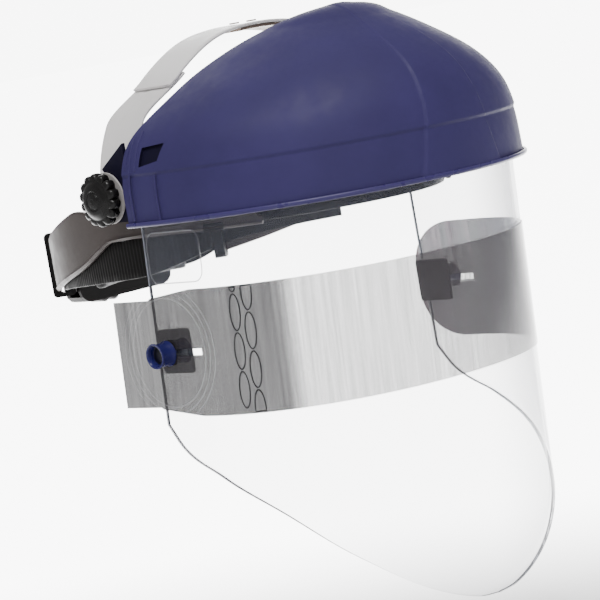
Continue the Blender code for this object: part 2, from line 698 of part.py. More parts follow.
def make_crown_strap():
    strap_piece("crown_tab_right", 0.0, 0.92, 0.0, 15, PALE, "right")
    strap_piece("crown_tab_left", math.pi - 0.92, math.pi, 0.0, 15, PALE, "left")
    strap_piece("crown_strap_right", 0.79, 1.78, 1.8, 15, PALE, climb=1.7)
    strap_piece("crown_strap_left", 1.46, math.pi - 0.79, 1.8, 15, TAUPE, None, STRAP_WIDE - 3)
    for number, x in ((1, -4.0), (2, 8.0)):
        bm = bmesh.new()
        bmesh.ops.create_cone(bm, cap_ends=True, segments=16, radius1=PIN_RADIUS * MM,
                              radius2=PIN_RADIUS * MM, depth=PIN_TALL * MM)
        bm.transform(Matrix.Translation(point(x, strap_forward(STRAP_TOP), PIN_Z)))
        add_mesh("strap_pin_%d" % number, bm, TAUPE)


# ---------------------------------------------------------------- ratchet

def rack_outline(sign, far, near):
    """A straight rack in (x, z): teeth face the pinion, sign is +1 above it and -1 below."""
    pitch = 2 * math.pi * PITCH / PINION_TEETH
    teeth = []
    line = REAR_Z + sign * PITCH
    first, last = sorted((far, near))
    start = math.ceil((first + 1.2) / pitch)
    stop = math.floor((last - 1.2) / pitch)
    for i in range(start, stop + 1):
        middle = i * pitch
        teeth += [(middle + a, line - sign * b) for a, b in
                  ((-0.9, -TOOTH_ROOT), (-0.35, TOOTH_TIP), (0.35, TOOTH_TIP),
                   (0.9, -TOOTH_ROOT))]
    base = line + sign * TOOTH_ROOT
    back = line + sign * 6.5
    return [(first, base)] + teeth + [(last, base), (last, back), (first, back)]


def make_racks():
    for name, side, sign in (("right", -1, 1), ("left", 1, -1)):
        outline = rack_outline(sign, side * 31.0, -side * 15.0)
        prism("strap_rack_" + name, outline, -RACK_OUT, -RACK_IN, "Y", BLACK)


def pinion_outline():
    out = []
    step = 2 * math.pi / PINION_TEETH
    for i in range(PINION_TEETH):
        middle = math.pi / 2 + (i + 0.5) * step
        for r, w in ((PITCH - TOOTH_ROOT, -0.19), (PITCH - 0.1, -0.135),
                     (PITCH + TOOTH_TIP, -0.06), (PITCH + TOOTH_TIP, 0.06),
                     (PITCH - 0.1, 0.135), (PITCH - TOOTH_ROOT, 0.19)):
            t = middle + w
            out.append((r * math.cos(t), REAR_Z + r * math.sin(t)))
    return out


def saw_outline(radius, depth, count):
    out = []
    for i in range(count):
        for share, r in ((0.0, radius - depth), (0.5, radius), (0.85, radius - depth * 0.4)):
            t = 2 * math.pi * (i + share) / count
            out.append((r * math.cos(t), REAR_Z + r * math.sin(t)))
    return out


def make_ratchet():
    gear = prism("gear", pinion_outline(), -139.6, -137.1, "Y")
    wheel = prism("wheel", saw_outline(8.0, 0.9, 20), -142.6, -139.5, "Y")
    shaft = prism("shaft", circle(3.5, 20, 0.0, REAR_Z), -155.0, -142.0, "Y")
    pinion = fused("ratchet_pinion", [wheel, gear, shaft], STEEL)
    origin_at(pinion, point(0.0, -142.0, REAR_Z))
    knob = prism("ratchet_knob", lobed(RATCHET_KNOB_RADIUS, 2.6, RATCHET_LOBES, 5, 0.0, REAR_Z),
                 -164.0, -147.2, "Y", BLACK)
    bore = prism("ratchet_bore", circle(3.8, 24, 0.0, REAR_Z), -155.4, -140.0, "Y",
                 where=CUTTERS)
    boolean(knob, bore)
    recess = prism("ratchet_recess", circle(6.5, 28, 0.0, REAR_Z), -170.0, -160.0, "Y",
                   where=CUTTERS)
    boolean(knob, recess)
    screw_hole = prism("screw_hole", circle(2.3, 20, 0.0, REAR_Z), -170.0, -154.0, "Y",
                       where=CUTTERS)
    boolean(knob, screw_hole)
    origin_at(knob, point(0.0, -147.2, REAR_Z))
    head = prism("head", circle(5.0, 24, 0.0, REAR_Z), -162.4, -160.3, "Y")
    thread = prism("thread", circle(2.0, 16, 0.0, REAR_Z), -161.0, -155.3, "Y")
    screw = fused("knob_screw", [head, thread], STEEL)
    origin_at(screw, point(0.0, -162.4, REAR_Z))


def rounded_box(half_x, low_z, high_z, radius):
    out = []
    left, right = radius - half_x, half_x - radius
    low, high = low_z + radius, high_z - radius
    corners = ((right, high, 0), (left, high, 90), (left, low, 180), (right, low, 270))
    for cx, cz, first in corners:
        for turn in (0, 30, 60, 90):
            t = math.radians(first + turn)
            out.append((cx + radius * math.cos(t), cz + radius * math.sin(t)))
    return out


def make_housing():
    low, high = REAR_Z - HOUSING_HIGH, REAR_Z + HOUSING_HIGH
    body = rounded_box(HOUSING_HALF, low, high, 7.0)
    outer = prism("housing_rear_cover", body, -146.6, -134.9, "Y", BLACK)
    room = [(-60.0, REAR_Z - 13.5), (60.0, REAR_Z - 13.5), (60.0, REAR_Z + 13.5),
            (-60.0, REAR_Z + 13.5)]
    boolean(outer, prism("housing_room", room, -143.4, -130.0, "Y", where=CUTTERS))
    boolean(outer, prism("housing_bore", circle(3.9, 24, 0.0, REAR_Z), -150.0, -140.0, "Y",
                         where=CUTTERS))
    prism("housing_front_cover", body, -134.6, -132.6, "Y", BLACK)
    leaf = [(-16.0, REAR_Z - 9.4), (16.0, REAR_Z - 9.4), (16.0, REAR_Z - 8.5), (1.2, REAR_Z - 8.5),
            (0.0, REAR_Z - 8.25), (-1.2, REAR_Z - 8.5), (-16.0, REAR_Z - 8.5)]
    prism("detent_spring", leaf, -142.9, -140.0, "Y", STEEL)


def make_nape_pad():
    rows = [[], [], []]
    for degrees in steps(-NAPE_TURN, NAPE_TURN, 15):
        x, forward = ring(180 + degrees, -9.0)
        forward = max(forward, -131.8)
        for row, z in zip(rows, (REAR_Z - NAPE_HALF, REAR_Z, REAR_Z + NAPE_HALF)):
            row.append(point(-x, forward, z))
    shell("nape_pad", [row[::-1] for row in rows], 7.0, FOAM)


def main():
    make_crown()
    make_brackets()
    make_window()
    make_retainer()
    make_film()
    make_pads_and_buttons()
    make_brow()
    make_arms()
    make_hubs()
    make_keepers()
    make_rear_straps()
    make_crown_strap()
    make_racks()
    make_ratchet()
    make_housing()
    make_nape_pad()


main()
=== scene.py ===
"""Looks of a face shield: blue tilting crown, clear window, tinted film and ratchet headband.

The wearer faces -Y, +Z is up and the origin is the middle of the axis on which the crown tilts.
Sizes are in millimetres, and "forward" is the distance towards -Y.
"""
import math

import bmesh
import bpy
import numpy as np
from mathutils import Matrix, Vector


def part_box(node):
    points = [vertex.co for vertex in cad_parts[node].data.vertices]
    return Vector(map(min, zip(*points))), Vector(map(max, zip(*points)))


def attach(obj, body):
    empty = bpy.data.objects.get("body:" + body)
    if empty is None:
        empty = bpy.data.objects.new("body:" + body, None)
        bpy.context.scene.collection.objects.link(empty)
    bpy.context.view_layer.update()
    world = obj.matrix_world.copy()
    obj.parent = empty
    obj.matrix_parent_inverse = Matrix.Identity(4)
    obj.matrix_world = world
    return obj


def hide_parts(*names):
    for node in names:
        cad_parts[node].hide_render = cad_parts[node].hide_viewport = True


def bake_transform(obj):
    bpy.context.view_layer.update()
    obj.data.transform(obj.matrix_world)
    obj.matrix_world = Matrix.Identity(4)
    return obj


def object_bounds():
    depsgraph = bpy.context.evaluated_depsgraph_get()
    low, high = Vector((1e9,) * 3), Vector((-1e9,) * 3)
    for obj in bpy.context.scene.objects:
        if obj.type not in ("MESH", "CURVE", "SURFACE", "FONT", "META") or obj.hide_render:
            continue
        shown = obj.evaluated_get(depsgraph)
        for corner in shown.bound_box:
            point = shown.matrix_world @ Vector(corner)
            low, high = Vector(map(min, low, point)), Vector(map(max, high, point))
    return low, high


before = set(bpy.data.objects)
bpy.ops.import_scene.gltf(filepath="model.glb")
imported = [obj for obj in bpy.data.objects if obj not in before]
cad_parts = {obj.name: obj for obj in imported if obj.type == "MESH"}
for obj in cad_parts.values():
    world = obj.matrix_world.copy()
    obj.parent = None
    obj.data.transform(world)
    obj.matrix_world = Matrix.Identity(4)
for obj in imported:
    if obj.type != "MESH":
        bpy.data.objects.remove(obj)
CAD_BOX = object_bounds()

bl_info = {
    "name": "Face Shield Looks",
    "version": (1, 0, 0),
    "blender": (4, 5, 0),
    "location": "View3D > Sidebar > Face Shield",
    "description": "Builds the finished surfaces of a face shield around its working parts",
    "category": "Add Mesh",
}

MM = 0.001
SIDES = {"right": -1, "left": 1}

# crown: heights, and at each height how far forward the front and the rear edge are, and the
# half width
RIM_Z, CREASE_Z = -14.5, 10.0
CROWN_Z = (RIM_Z, CREASE_Z, 27.0, 42.0, 56.0, 67.0, 73.4, 75.5)
CROWN_FRONT = (141.5, 140.0, 136.0, 127.0, 110.0, 91.0, 78.5, 71.8)
CROWN_REAR = (17.5, 17.5, 20.5, 29.0, 37.5, 53.0, 67.5, 71.5)
CROWN_HALF = (112.5, 111.0, 103.5, 85.0, 61.5, 39.0, 19.0, 0.3)
CROWN_WALL = 2.2
# blind pocket in each side: corners as (forward, z), and depth
POCKET = ((30.0, 13.5), (42.0, 15.5), (45.0, 23.5), (31.0, 22.5))
POCKET_DEPTH = 1.4
POCKET_REACH = 125.0           # how far out the block that cuts a pocket goes
STEP_OUT, STEP_RISE = 1.0, (8.6, 11.0)  # the dome's step beyond the skirt, and its heights
PANEL_PROUD, PANEL_EDGE, PANEL_START = 1.2, 0.7, (48.0, 60.0)
LINE_SEAT = 0.9                # how far out the raised lines are laid, to clear the step
# ribs beside the rear edge: how far forward, and their first and last height
CROWN_RIBS = ((19.5, 13.0, 23.0), (23.5, -12.0, 27.0), (27.5, 12.0, 30.0), (40.5, -13.0, 9.0))
# raised panel down the middle of the crown: its half width by height
PANEL_Z = (RIM_Z, 8.0, 27.0, 42.0, 57.0, 68.0, 75.0)
PANEL_HALF = (27.0, 21.0, 17.5, 15.0, 12.0, 8.0, 5.0)

# window
WINDOW_TOP, WINDOW_WALL = 4.5, 2.0
WINDOW_STRAIGHT, WINDOW_DEPTH, WINDOW_HALF, WINDOW_POWER = 38.0, 96.6, 95.0, 2.13
SIDE_FLARE, DEPTH_LOSS, LEAN = 0.035, 0.064, 0.025
WINDOW_REAR, WINDOW_NOTCH, NOTCH_Z = 5.0, 14.0, -12.0
BOTTOM_ALONG = (0.0, 10.0, 38.0, 70.0, 104.0, 140.0, 170.0, 184.0)
BOTTOM_Z = (-117.0, -129.0, -144.0, -162.0, -188.0, -212.0, -224.0, -225.5)

# film
FILM_WALL, FILM_OUT, FILM_TAB = 0.4, 0.35, 29.0
FILM_MID_Z, FILM_HALF, FILM_FAR_RADIUS, FILM_FAR = -81.0, 31.5, 30.0, 7.0
BUTTON_FORWARD, BUTTON_Z, BUTTON_ALONG = 13.0, -80.5, 9.65
SLOT_HALF, SLOT_START, SLOT_END, SLOT_REACH = 1.65, 10.8, 38.0, (92.0, 104.0)
FAR_START, FAR_BLEND = 238.0, 14.0      # where the film's dark far end begins, along it
NEAR_FADE = (82.0, 92.0)                # where the grey near end gives way
# printed ovals: each column's place along the film and how far it is set down
OVAL_COLUMNS, OVAL_ROWS = ((59.0, 0.0), (66.6, 9.5)), 4
OVAL_TOP, OVAL_PITCH, OVAL_WIDE, OVAL_TALL = -43.5, 19.0, 2.9, 8.9
BUTTON_TALL = 9.0

# headband ring, an ellipse seen from above
RING_FORWARD, RING_LONG, RING_WIDE = -22.0, 118.0, 84.0
BAND_MIDDLE, REAR_DROP, REAR_REACH = -8.0, 38.0, 140.0
REAR_Z = -46.0
STRAP_RISE_END = (133.0, 150.0)         # turns over which a raised rear strap comes down
NAPE_FORWARD, KEEPER_TURN = -136.3, 139.6
ARM_LOW_AT = (-120.0, -87.0, -53.0, -36.0, -27.0, -18.0, 70.0)
ARM_LOW_Z = (-52.4, -45.0, -36.0, -28.6, -24.6, -23.7, -24.0)
STRAP_LOW_AT = (-140.0, -112.0, -82.0, -38.0, -4.0, 15.0, 35.0)
STRAP_LOW_Z = (-56.0, -51.2, -48.0, -45.0, -42.6, -38.6, -33.0)

# crown strap
STRAP_TOP, STRAP_BASE, STRAP_HALF, STRAP_POWER = 69.6, -10.0, 87.9, 2.2
STRAP_LOW_FORWARD, STRAP_FORWARD_RUN = -17.0, 14.5

# camera: where it stands, and its heading, pitch and roll in degrees
CAMERA_PLACE = (-0.9715, -1.0804, 0.0768)
CAMERA_HEADING, CAMERA_PITCH, CAMERA_ROLL = 42.132, -5.905, -9.881
CAMERA_LENS = 167.95
# the bright wedge: how squarely a direction faces the backdrop where it starts and is whole
SKY_WEDGE, FLOOR_WEDGE = (0.85, 0.98), (0.88, 0.985)
FLOOR_FADE = (1.35, 1.8)       # how far from the camera the floor starts to glow, in metres
FLOOR_REACH = 30.0
FLOOR_DROP = 0.03              # how far below the object the floor lies, in metres


# ---------------------------------------------------------------- shapes

def at(x, forward, z):
    """Points in metres from millimetre distances, which may be arrays of one shape."""
    x, forward, z = np.broadcast_arrays(np.asarray(x, float), forward, z)
    return np.stack([x, -forward, z], -1) * MM


def ease(x, low, high):
    """A smooth step from 0 at low to 1 at high."""
    t = np.clip((np.asarray(x, float) - low) / (high - low), 0.0, 1.0)
    return t * t * (3 - 2 * t)


def through(x, xs, ys):
    """A smooth curve through points: cubic pieces whose slopes are the means of the chords."""
    xs, ys = np.asarray(xs, float), np.asarray(ys, float)
    chords = np.diff(ys) / np.diff(xs)
    slopes = np.concatenate([chords[:1], (chords[1:] + chords[:-1]) / 2, chords[-1:]])
    i = np.clip(np.searchsorted(xs, x) - 1, 0, len(xs) - 2)
    wide = xs[i + 1] - xs[i]
    t = np.clip((x - xs[i]) / wide, 0.0, 1.0)
    rise = slopes[i] * wide * t * (1 - t) ** 2 - slopes[i + 1] * wide * t * t * (1 - t)
    return ys[i] + (ys[i + 1] - ys[i]) * t * t * (3 - 2 * t) + rise


def crown_point(turn, z, out=0.0):
    """The crown at a turn (0 rear right, pi rear left) and a height.

    At each height the section is half an ellipse from the rear edge round the front.
    """
    front = through(z, CROWN_Z, CROWN_FRONT) + out
    rear = through(z, CROWN_Z, CROWN_REAR)
    half = through(z, CROWN_Z, CROWN_HALF) + out
    return -half * np.cos(turn), rear + (front - rear) * np.sin(turn)


def window_lines(z, out, rear, count=241):
    """Half outlines of the window at heights z, as x, forward and length from the rear edge.

    A straight run from the rear edge meets a quarter of a superellipse, and both are shared
    out evenly by length.
    """
    drop = (RIM_Z - np.asarray(z, float))[..., None]
    turn = np.linspace(0.0, np.pi / 2, count)
    power = 2 / WINDOW_POWER
    half = WINDOW_HALF + SIDE_FLARE * drop + out
    x = half * np.cos(turn) ** power
    reach = WINDOW_DEPTH - DEPTH_LOSS * drop + out
    forward = WINDOW_STRAIGHT - LEAN * drop + reach * np.sin(turn) ** power
    x = np.concatenate([half + 0 * x[..., :1], x], -1)
    start = np.asarray(rear, float)[..., None] - LEAN * drop
    forward = np.concatenate([start + 0 * forward[..., :1], forward], -1)
    steps = np.hypot(np.diff(x, axis=-1), np.diff(forward, axis=-1))
    along = np.concatenate([0 * x[..., :1], np.cumsum(steps, -1)], -1)
    return x, forward, along


def window_share(share, z, out=0.0, rear=WINDOW_REAR):
    """Window points by share of the half outline (0 rear edge, 1 front) and height."""
    share, z, rear = np.broadcast_arrays(np.asarray(share, float), z, rear)
    flat_share, flat_z, flat_rear = share.ravel(), z.ravel(), rear.ravel()
    levels, back = np.unique(np.stack([flat_z, flat_rear]), axis=1, return_inverse=True)
    back = back.ravel()
    x, forward, along = window_lines(levels[0], out, levels[1])
    got_x, got_f = np.empty_like(flat_share), np.empty_like(flat_share)
    for level in range(levels.shape[1]):
        here = back == level
        want = flat_share[here] * along[level, -1]
        got_x[here] = np.interp(want, along[level], x[level])
        got_f[here] = np.interp(want, along[level], forward[level])
    return got_x.reshape(share.shape), got_f.reshape(share.shape)


def window_at(along, z, out=0.0, side=-1):
    """Window points by length from the rear edge; a negative length runs on straight back."""
    along, z = np.broadcast_arrays(np.asarray(along, float), z)
    total = window_lines(np.array([FILM_MID_Z]), 0.0, WINDOW_REAR)[2][0, -1]
    x, forward = window_share(np.clip(along / total, 0, 1), z, out)
    return side * x, forward + np.minimum(along, 0.0)


def ring(turn, out):
    """Headband ring at turns from the brow in radians: x to the side, and forward."""
    x = (RING_WIDE + out) * np.sin(turn)
    return x, RING_FORWARD + (RING_LONG + out) * np.cos(turn)


def band_middle(forward):
    """Height of the headband's middle: level at the brow and dropping to the nape."""
    return BAND_MIDDLE - REAR_DROP * np.clip(-forward / REAR_REACH, 0.0, 1.0) ** 1.2


# ---------------------------------------------------------------- meshes

def unit(rows):
    """Rows of vectors, each made one long."""
    return rows / np.linalg.norm(rows, axis=1)[:, None]


def reach_of(node):
    """A node's inner and outer distance from the middle plane, in millimetres."""
    low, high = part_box(node)
    return sorted((abs(low.x) / MM, abs(high.x) / MM))


def shade(mesh, angle=35.0):
    """Shade smooth, apart from edges sharper than an angle."""
    mesh.shade_smooth()
    mesh.set_sharp_from_angle(angle=math.radians(angle))


def piece_from(name, points, faces, finish):
    """A new object from points and faces, with one finish or a list of them."""
    mesh = bpy.data.meshes.new(name)
    mesh.from_pydata(np.asarray(points).reshape(-1, 3).tolist(), [], faces)
    made = bpy.data.objects.new(name, mesh)
    bpy.context.scene.collection.objects.link(made)
    for layer in finish if isinstance(finish, (list, tuple)) else [finish]:
        mesh.materials.append(layer)
    return made


def quads(rows, columns, round_rows=False, round_columns=False):
    """Faces of a grid of points; either way round may be closed."""
    index = np.arange(rows * columns).reshape(rows, columns)
    if round_columns:
        index = np.concatenate([index, index[:, :1]], 1)
    if round_rows:
        index = np.concatenate([index, index[:1]], 0)
    corners = [index[:-1, :-1], index[:-1, 1:], index[1:, 1:], index[1:, :-1]]
    return np.stack(corners, -1).reshape(-1, 4)


def settle(made, angle=35.0, closed=True):
    """Merge doubles, turn the faces outwards and shade smooth below an angle."""
    bm = bmesh.new()
    bm.from_mesh(made.data)
    bmesh.ops.remove_doubles(bm, verts=bm.verts, dist=1e-6)
    if closed:
        bmesh.ops.recalc_face_normals(bm, faces=bm.faces)
        if bm.calc_volume(signed=True) < 0:
            bmesh.ops.reverse_faces(bm, faces=bm.faces)
    bm.to_mesh(made.data)
    bm.free()
    shade(made.data, angle)
    return made


def sheet_piece(name, points, finish, wall, side=-1.0, rim=None):
    """A sheet on a grid of points with a wall; rim is the material number of its cut edges."""
    rows, columns = points.shape[:2]
    made = piece_from(name, points, quads(rows, columns).tolist(), finish)
    settle(made, closed=False)
    solid = made.modifiers.new("wall", 'SOLIDIFY')
    solid.thickness = wall * MM
    solid.offset = side
    solid.use_even_offset = True
    if rim is not None:
        solid.material_offset_rim = rim
    return made


def swept(name, sections, finish, angle=35.0, ends=True):
    """A solid through closed sections, one row each, with flat ends."""
    rows, columns = sections.shape[:2]
    faces = quads(rows, columns, round_columns=True).tolist()
    if ends:
        last = (rows - 1) * columns
        faces += [list(range(columns))[::-1], list(range(last, last + columns))]
    return settle(piece_from(name, sections, faces, finish), angle)


def lathe(name, profile, centre, axis, finish, count=64, lobes=0, valley=0.0, angle=35.0):
    """A turned solid: (radius, distance) pairs spun about an axis through centre.

    With lobes, the radius loses valley times (1 - |sin(lobes * turn / 2)|) to the power 1.5
    where the profile's third value is 1.
    """
    profile = np.array([tuple(p) + (0.0,) * (3 - len(p)) for p in profile])
    radius, reach, share = profile.T
    turn = np.linspace(0, 2 * np.pi, count, endpoint=False)
    dip = valley * (1 - np.abs(np.sin(lobes * turn / 2))) ** 1.5 if lobes else 0 * turn
    size = radius[:, None] - share[:, None] * dip[None, :]
    axis = np.array(axis, float)
    first = np.cross(axis, (0.0, 0.0, 1.0))
    first /= np.linalg.norm(first)
    second = np.cross(axis, first)
    spun = (size * np.cos(turn))[..., None] * first + (size * np.sin(turn))[..., None] * second
    points = np.array(centre) + (spun + reach[:, None, None] * axis) * MM
    faces = quads(len(profile), count, round_columns=True).tolist()
    return settle(piece_from(name, points, faces, finish), angle)


def strip_loop(inner, outer, corner, face_rows=8):
    """Closed section of a strip: its distance out, its share of the height and the rest.

    The height of a point is low + share * (high - low) + rest, with rounded edges of the
    corner radius.
    """
    arc = np.linspace(0, np.pi / 2, 4)
    rise = np.linspace(0, 1, face_rows)
    straight = corner * (1 - 2 * rise)
    out = np.concatenate([
        np.full(face_rows, outer),
        outer - corner + corner * np.cos(arc[1:]),
        inner + corner - corner * np.sin(arc[:-1]),
        np.full(face_rows, inner),
        inner + corner - corner * np.cos(arc[1:]),
        outer - corner + corner * np.sin(arc[:-1])])
    share = np.concatenate([rise, np.ones(6), rise[::-1], np.zeros(6)])
    rest = np.concatenate([
        straight,
        -corner + corner * np.sin(arc[1:]),
        -corner + corner * np.cos(arc[:-1]),
        straight[::-1],
        corner - corner * np.sin(arc[1:]),
        corner - corner * np.cos(arc[:-1])])
    return out, share, rest


def ring_strip(name, turns, inner, outer, low, high, finish, side=1, corner=0.5, relief=None,
               face_rows=8):
    """A strip that follows the headband ring between two heights, with rounded edges.

    relief, if given, takes the forward distance and the height and gives how far the outer
    face stands proud.
    """
    out, share, rest = strip_loop(inner, outer, corner, face_rows)
    shift = np.broadcast_to(out, (len(turns), len(out)))
    x, forward = ring(turns[:, None], shift)
    z = low[:, None] + share * (high - low)[:, None] + rest
    if relief is not None:
        face = (np.arange(len(out)) < face_rows) & (rest != corner)
        proud = relief(forward, z) * (face & (share > 0) & (share < 1))
        x, forward = ring(turns[:, None], shift + proud)
    return swept(name, at(side * x, forward, z), finish)


def carve(target, cutters):
    """Cut shapes out of a piece, and leave the result as its mesh."""
    for cutter in cutters:
        cut = target.modifiers.new("cut", 'BOOLEAN')
        cut.operation = 'DIFFERENCE'
        cut.solver = 'EXACT'
        cut.material_mode = 'TRANSFER'
        cut.object = cutter
    bpy.context.view_layer.update()
    shown = target.evaluated_get(bpy.context.evaluated_depsgraph_get())
    mesh = bpy.data.meshes.new_from_object(shown)
    target.modifiers.clear()
    old, target.data = target.data, mesh
    bpy.data.meshes.remove(old)
    for cutter in cutters:
        bpy.data.objects.remove(cutter, do_unlink=True)
    shade(mesh)
    return target


def prism(name, outline, low, high):
    """A flat outline of (forward, z) pairs carried along X from low to high."""
    forward, z = np.array(outline, float).T
    return swept(name, np.stack([at(low, forward, z), at(high, forward, z)]), [])


def joined(name, pieces, finish):
    """One piece from several meshes that don't need to be fused."""
    bm = bmesh.new()
    for piece in pieces:
        bm.from_mesh(piece.data)
        bpy.data.objects.remove(piece, do_unlink=True)
    mesh = bpy.data.meshes.new(name)
    bm.to_mesh(mesh)
    bm.free()
    made = bpy.data.objects.new(name, mesh)
    bpy.context.scene.collection.objects.link(made)
    mesh.materials.append(finish)
    shade(mesh)
    return made


def store(made, name, values):
    """Keep one number for each point of a piece, for its material to read."""
    layer = made.data.attributes.new(name, 'FLOAT', 'POINT')
    layer.data.foreach_set("value", np.asarray(values, np.float32).ravel())


# ---------------------------------------------------------------- finishes

class Finish:
    """A material's nodes, with short names for the ones used here."""

    def __init__(self, name, colour, rough, metal=0.0):
        self.made = bpy.data.materials.new(name)
        self.made.use_nodes = True
        self.nodes = self.made.node_tree.nodes
        self.links = self.made.node_tree.links
        self.shader = self.nodes["Principled BSDF"]
        self.shader.inputs["Base Color"].default_value = (*colour, 1.0)
        self.shader.inputs["Roughness"].default_value = rough
        self.shader.inputs["Metallic"].default_value = metal
        self.place = self.nodes.new("ShaderNodeTexCoord").outputs["Object"]

    def add(self, kind, **values):
        """A node, with values for its settings or else its inputs."""
        made = self.nodes.new(kind)
        for key, value in values.items():
            if hasattr(made, key):
                setattr(made, key, value)
            else:
                made.inputs[key.replace("_", " ")].default_value = value
        return made

    def wire(self, source, target):
        """Link one socket to another."""
        self.links.new(source, target)

    def noise(self, scale, detail=3.0, stretch=(1, 1, 1)):
        """Noise of a scale per metre, stretched along the axes."""
        turn = self.add("ShaderNodeMapping")
        turn.inputs["Scale"].default_value = stretch
        self.wire(self.place, turn.inputs["Vector"])
        made = self.add("ShaderNodeTexNoise", Scale=scale, Detail=detail)
        self.wire(turn.outputs[0], made.inputs["Vector"])
        return made.outputs["Fac"]

    def ramp(self, source, stops):
        """A colour ramp through (place, colour) stops."""
        made = self.add("ShaderNodeValToRGB")
        points = made.color_ramp.elements
        while len(points) < len(stops):
            points.new(0.5)
        for point, (where, colour) in zip(points, stops):
            point.position = where
            point.color = (*colour, 1.0)
        self.wire(source, made.inputs[0])
        return made.outputs["Color"]

    def spread(self, source, low, high, start=0.0, end=1.0):
        """Map a value from start..end to low..high."""
        made = self.add("ShaderNodeMapRange")
        made.inputs["From Min"].default_value = start
        made.inputs["From Max"].default_value = end
        made.inputs["To Min"].default_value = low
        made.inputs["To Max"].default_value = high
        self.wire(source, made.inputs["Value"])
        return made.outputs["Result"]

    def math(self, how, a, b=0.0):
        """Two values, each a number or a socket, put together in a named way."""
        made = self.add("ShaderNodeMath", operation=how)
        for socket, value in zip(made.inputs, (a, b)):
            if isinstance(value, (int, float)):
                socket.default_value = value
            else:
                self.wire(value, socket)
        return made.outputs[0]

    def mix(self, factor, first, second):
        """A blend of two colours, each three numbers or a socket."""
        made = self.add("ShaderNodeMix", data_type='RGBA')
        self.wire(factor, made.inputs["Factor"])
        slots = [s for s in made.inputs if s.type == 'RGBA']
        for socket, value in zip(slots, (first, second)):
            if isinstance(value, tuple):
                socket.default_value = (*value, 1.0)
            else:
                self.wire(value, socket)
        return [s for s in made.outputs if s.type == 'RGBA'][0]

    def bump(self, height, distance, strength=1.0):
        """Relief in the finish from a height."""
        made = self.add("ShaderNodeBump", Strength=strength, Distance=distance)
        self.wire(height, made.inputs["Height"])
        self.wire(made.outputs[0], self.shader.inputs["Normal"])

    def attribute(self, name):
        """A number that was stored for each point."""
        return self.add("ShaderNodeAttribute", attribute_name=name).outputs["Fac"]

    def colour(self, source):
        """Take the base colour from a socket."""
        self.wire(source, self.shader.inputs["Base Color"])

    def rough(self, source):
        """Take the roughness from a socket."""
        self.wire(source, self.shader.inputs["Roughness"])


def scaled(colour, by):
    """A colour made lighter or darker."""
    return tuple(min(1.0, c * by) for c in colour)


def moulded(name, colour, rough, grain=900.0, depth=0.00004, tint=0.12, wear=0.0, gloss=0.3):
    """Moulded plastic: fine grain, a slow change of tone, and scuffs where it is handled."""
    made = Finish(name, colour, rough)
    made.shader.inputs["Specular IOR Level"].default_value = gloss
    slow = made.noise(30.0, 2.0)
    fine = made.noise(grain, 3.0)
    tone = made.ramp(slow, [(0.3, scaled(colour, 1 - tint)), (0.7, scaled(colour, 1 + tint))])
    if wear:
        scuff = made.spread(made.noise(160.0, 6.0, (1, 1, 3)), 0.0, wear, 0.62, 0.78)
        tone = made.mix(scuff, tone, scaled(colour, 2.2))
    made.colour(tone)
    made.rough(made.spread(made.noise(120.0, 4.0), rough - 0.06, rough + 0.08, 0.3, 0.7))
    made.bump(fine, depth, 0.5)
    return made.made


def brushed(name, colour, rough):
    """Turned steel with fine lines."""
    made = Finish(name, colour, rough, 1.0)
    lines = made.noise(500.0, 2.0, (0.05, 1, 1))
    made.rough(made.spread(lines, rough - 0.08, rough + 0.12, 0.3, 0.7))
    made.colour(made.ramp(made.noise(60.0), [(0.3, scaled(colour, 0.85)), (0.7, colour)]))
    made.bump(lines, 0.00002, 0.4)
    return made.made


def foam(name, colour):
    """Closed-cell foam: small round cells, a soft sheen and slow blotches."""
    made = Finish(name, colour, 0.85)
    cells = made.add("ShaderNodeTexVoronoi", Scale=700.0)
    made.wire(made.place, cells.inputs["Vector"])
    slow = made.noise(45.0, 3.0)
    made.colour(made.ramp(slow, [(0.3, scaled(colour, 0.75)), (0.7, scaled(colour, 1.5))]))
    made.bump(cells.outputs["Distance"], 0.0003, 0.7)
    made.shader.inputs["Sheen Weight"].default_value = 0.25
    made.shader.inputs["Sheen Roughness"].default_value = 0.5
    return made.made


def clear_sheet(name, colour, facing, edgewise, streaks=0.0):
    """Clear sheet: nearly unseen face on, denser towards its edges, with upright streaks."""
    made = Finish(name, colour, 0.03)
    view = made.add("ShaderNodeLayerWeight", Blend=0.35).outputs["Facing"]
    cover = made.spread(view, facing, edgewise, 0.25, 1.0)
    if streaks:
        grain = made.add("ShaderNodeTexNoise", noise_dimensions='1D', Scale=0.16, Detail=3.0)
        made.wire(made.attribute("round"), grain.inputs["W"])
        streak = made.spread(grain.outputs["Fac"], 0.0, streaks, 0.48, 0.62)
        streak = made.math('MULTIPLY', streak, made.spread(view, 0.0, 1.0, 0.62, 0.85))
        cover = made.math('ADD', cover, streak)
    made.wire(cover, made.shader.inputs["Alpha"])
    cloud = made.noise(14.0, 2.0)
    made.colour(made.ramp(cloud, [(0.3, scaled(colour, 0.96)), (0.7, colour)]))
    return made.made


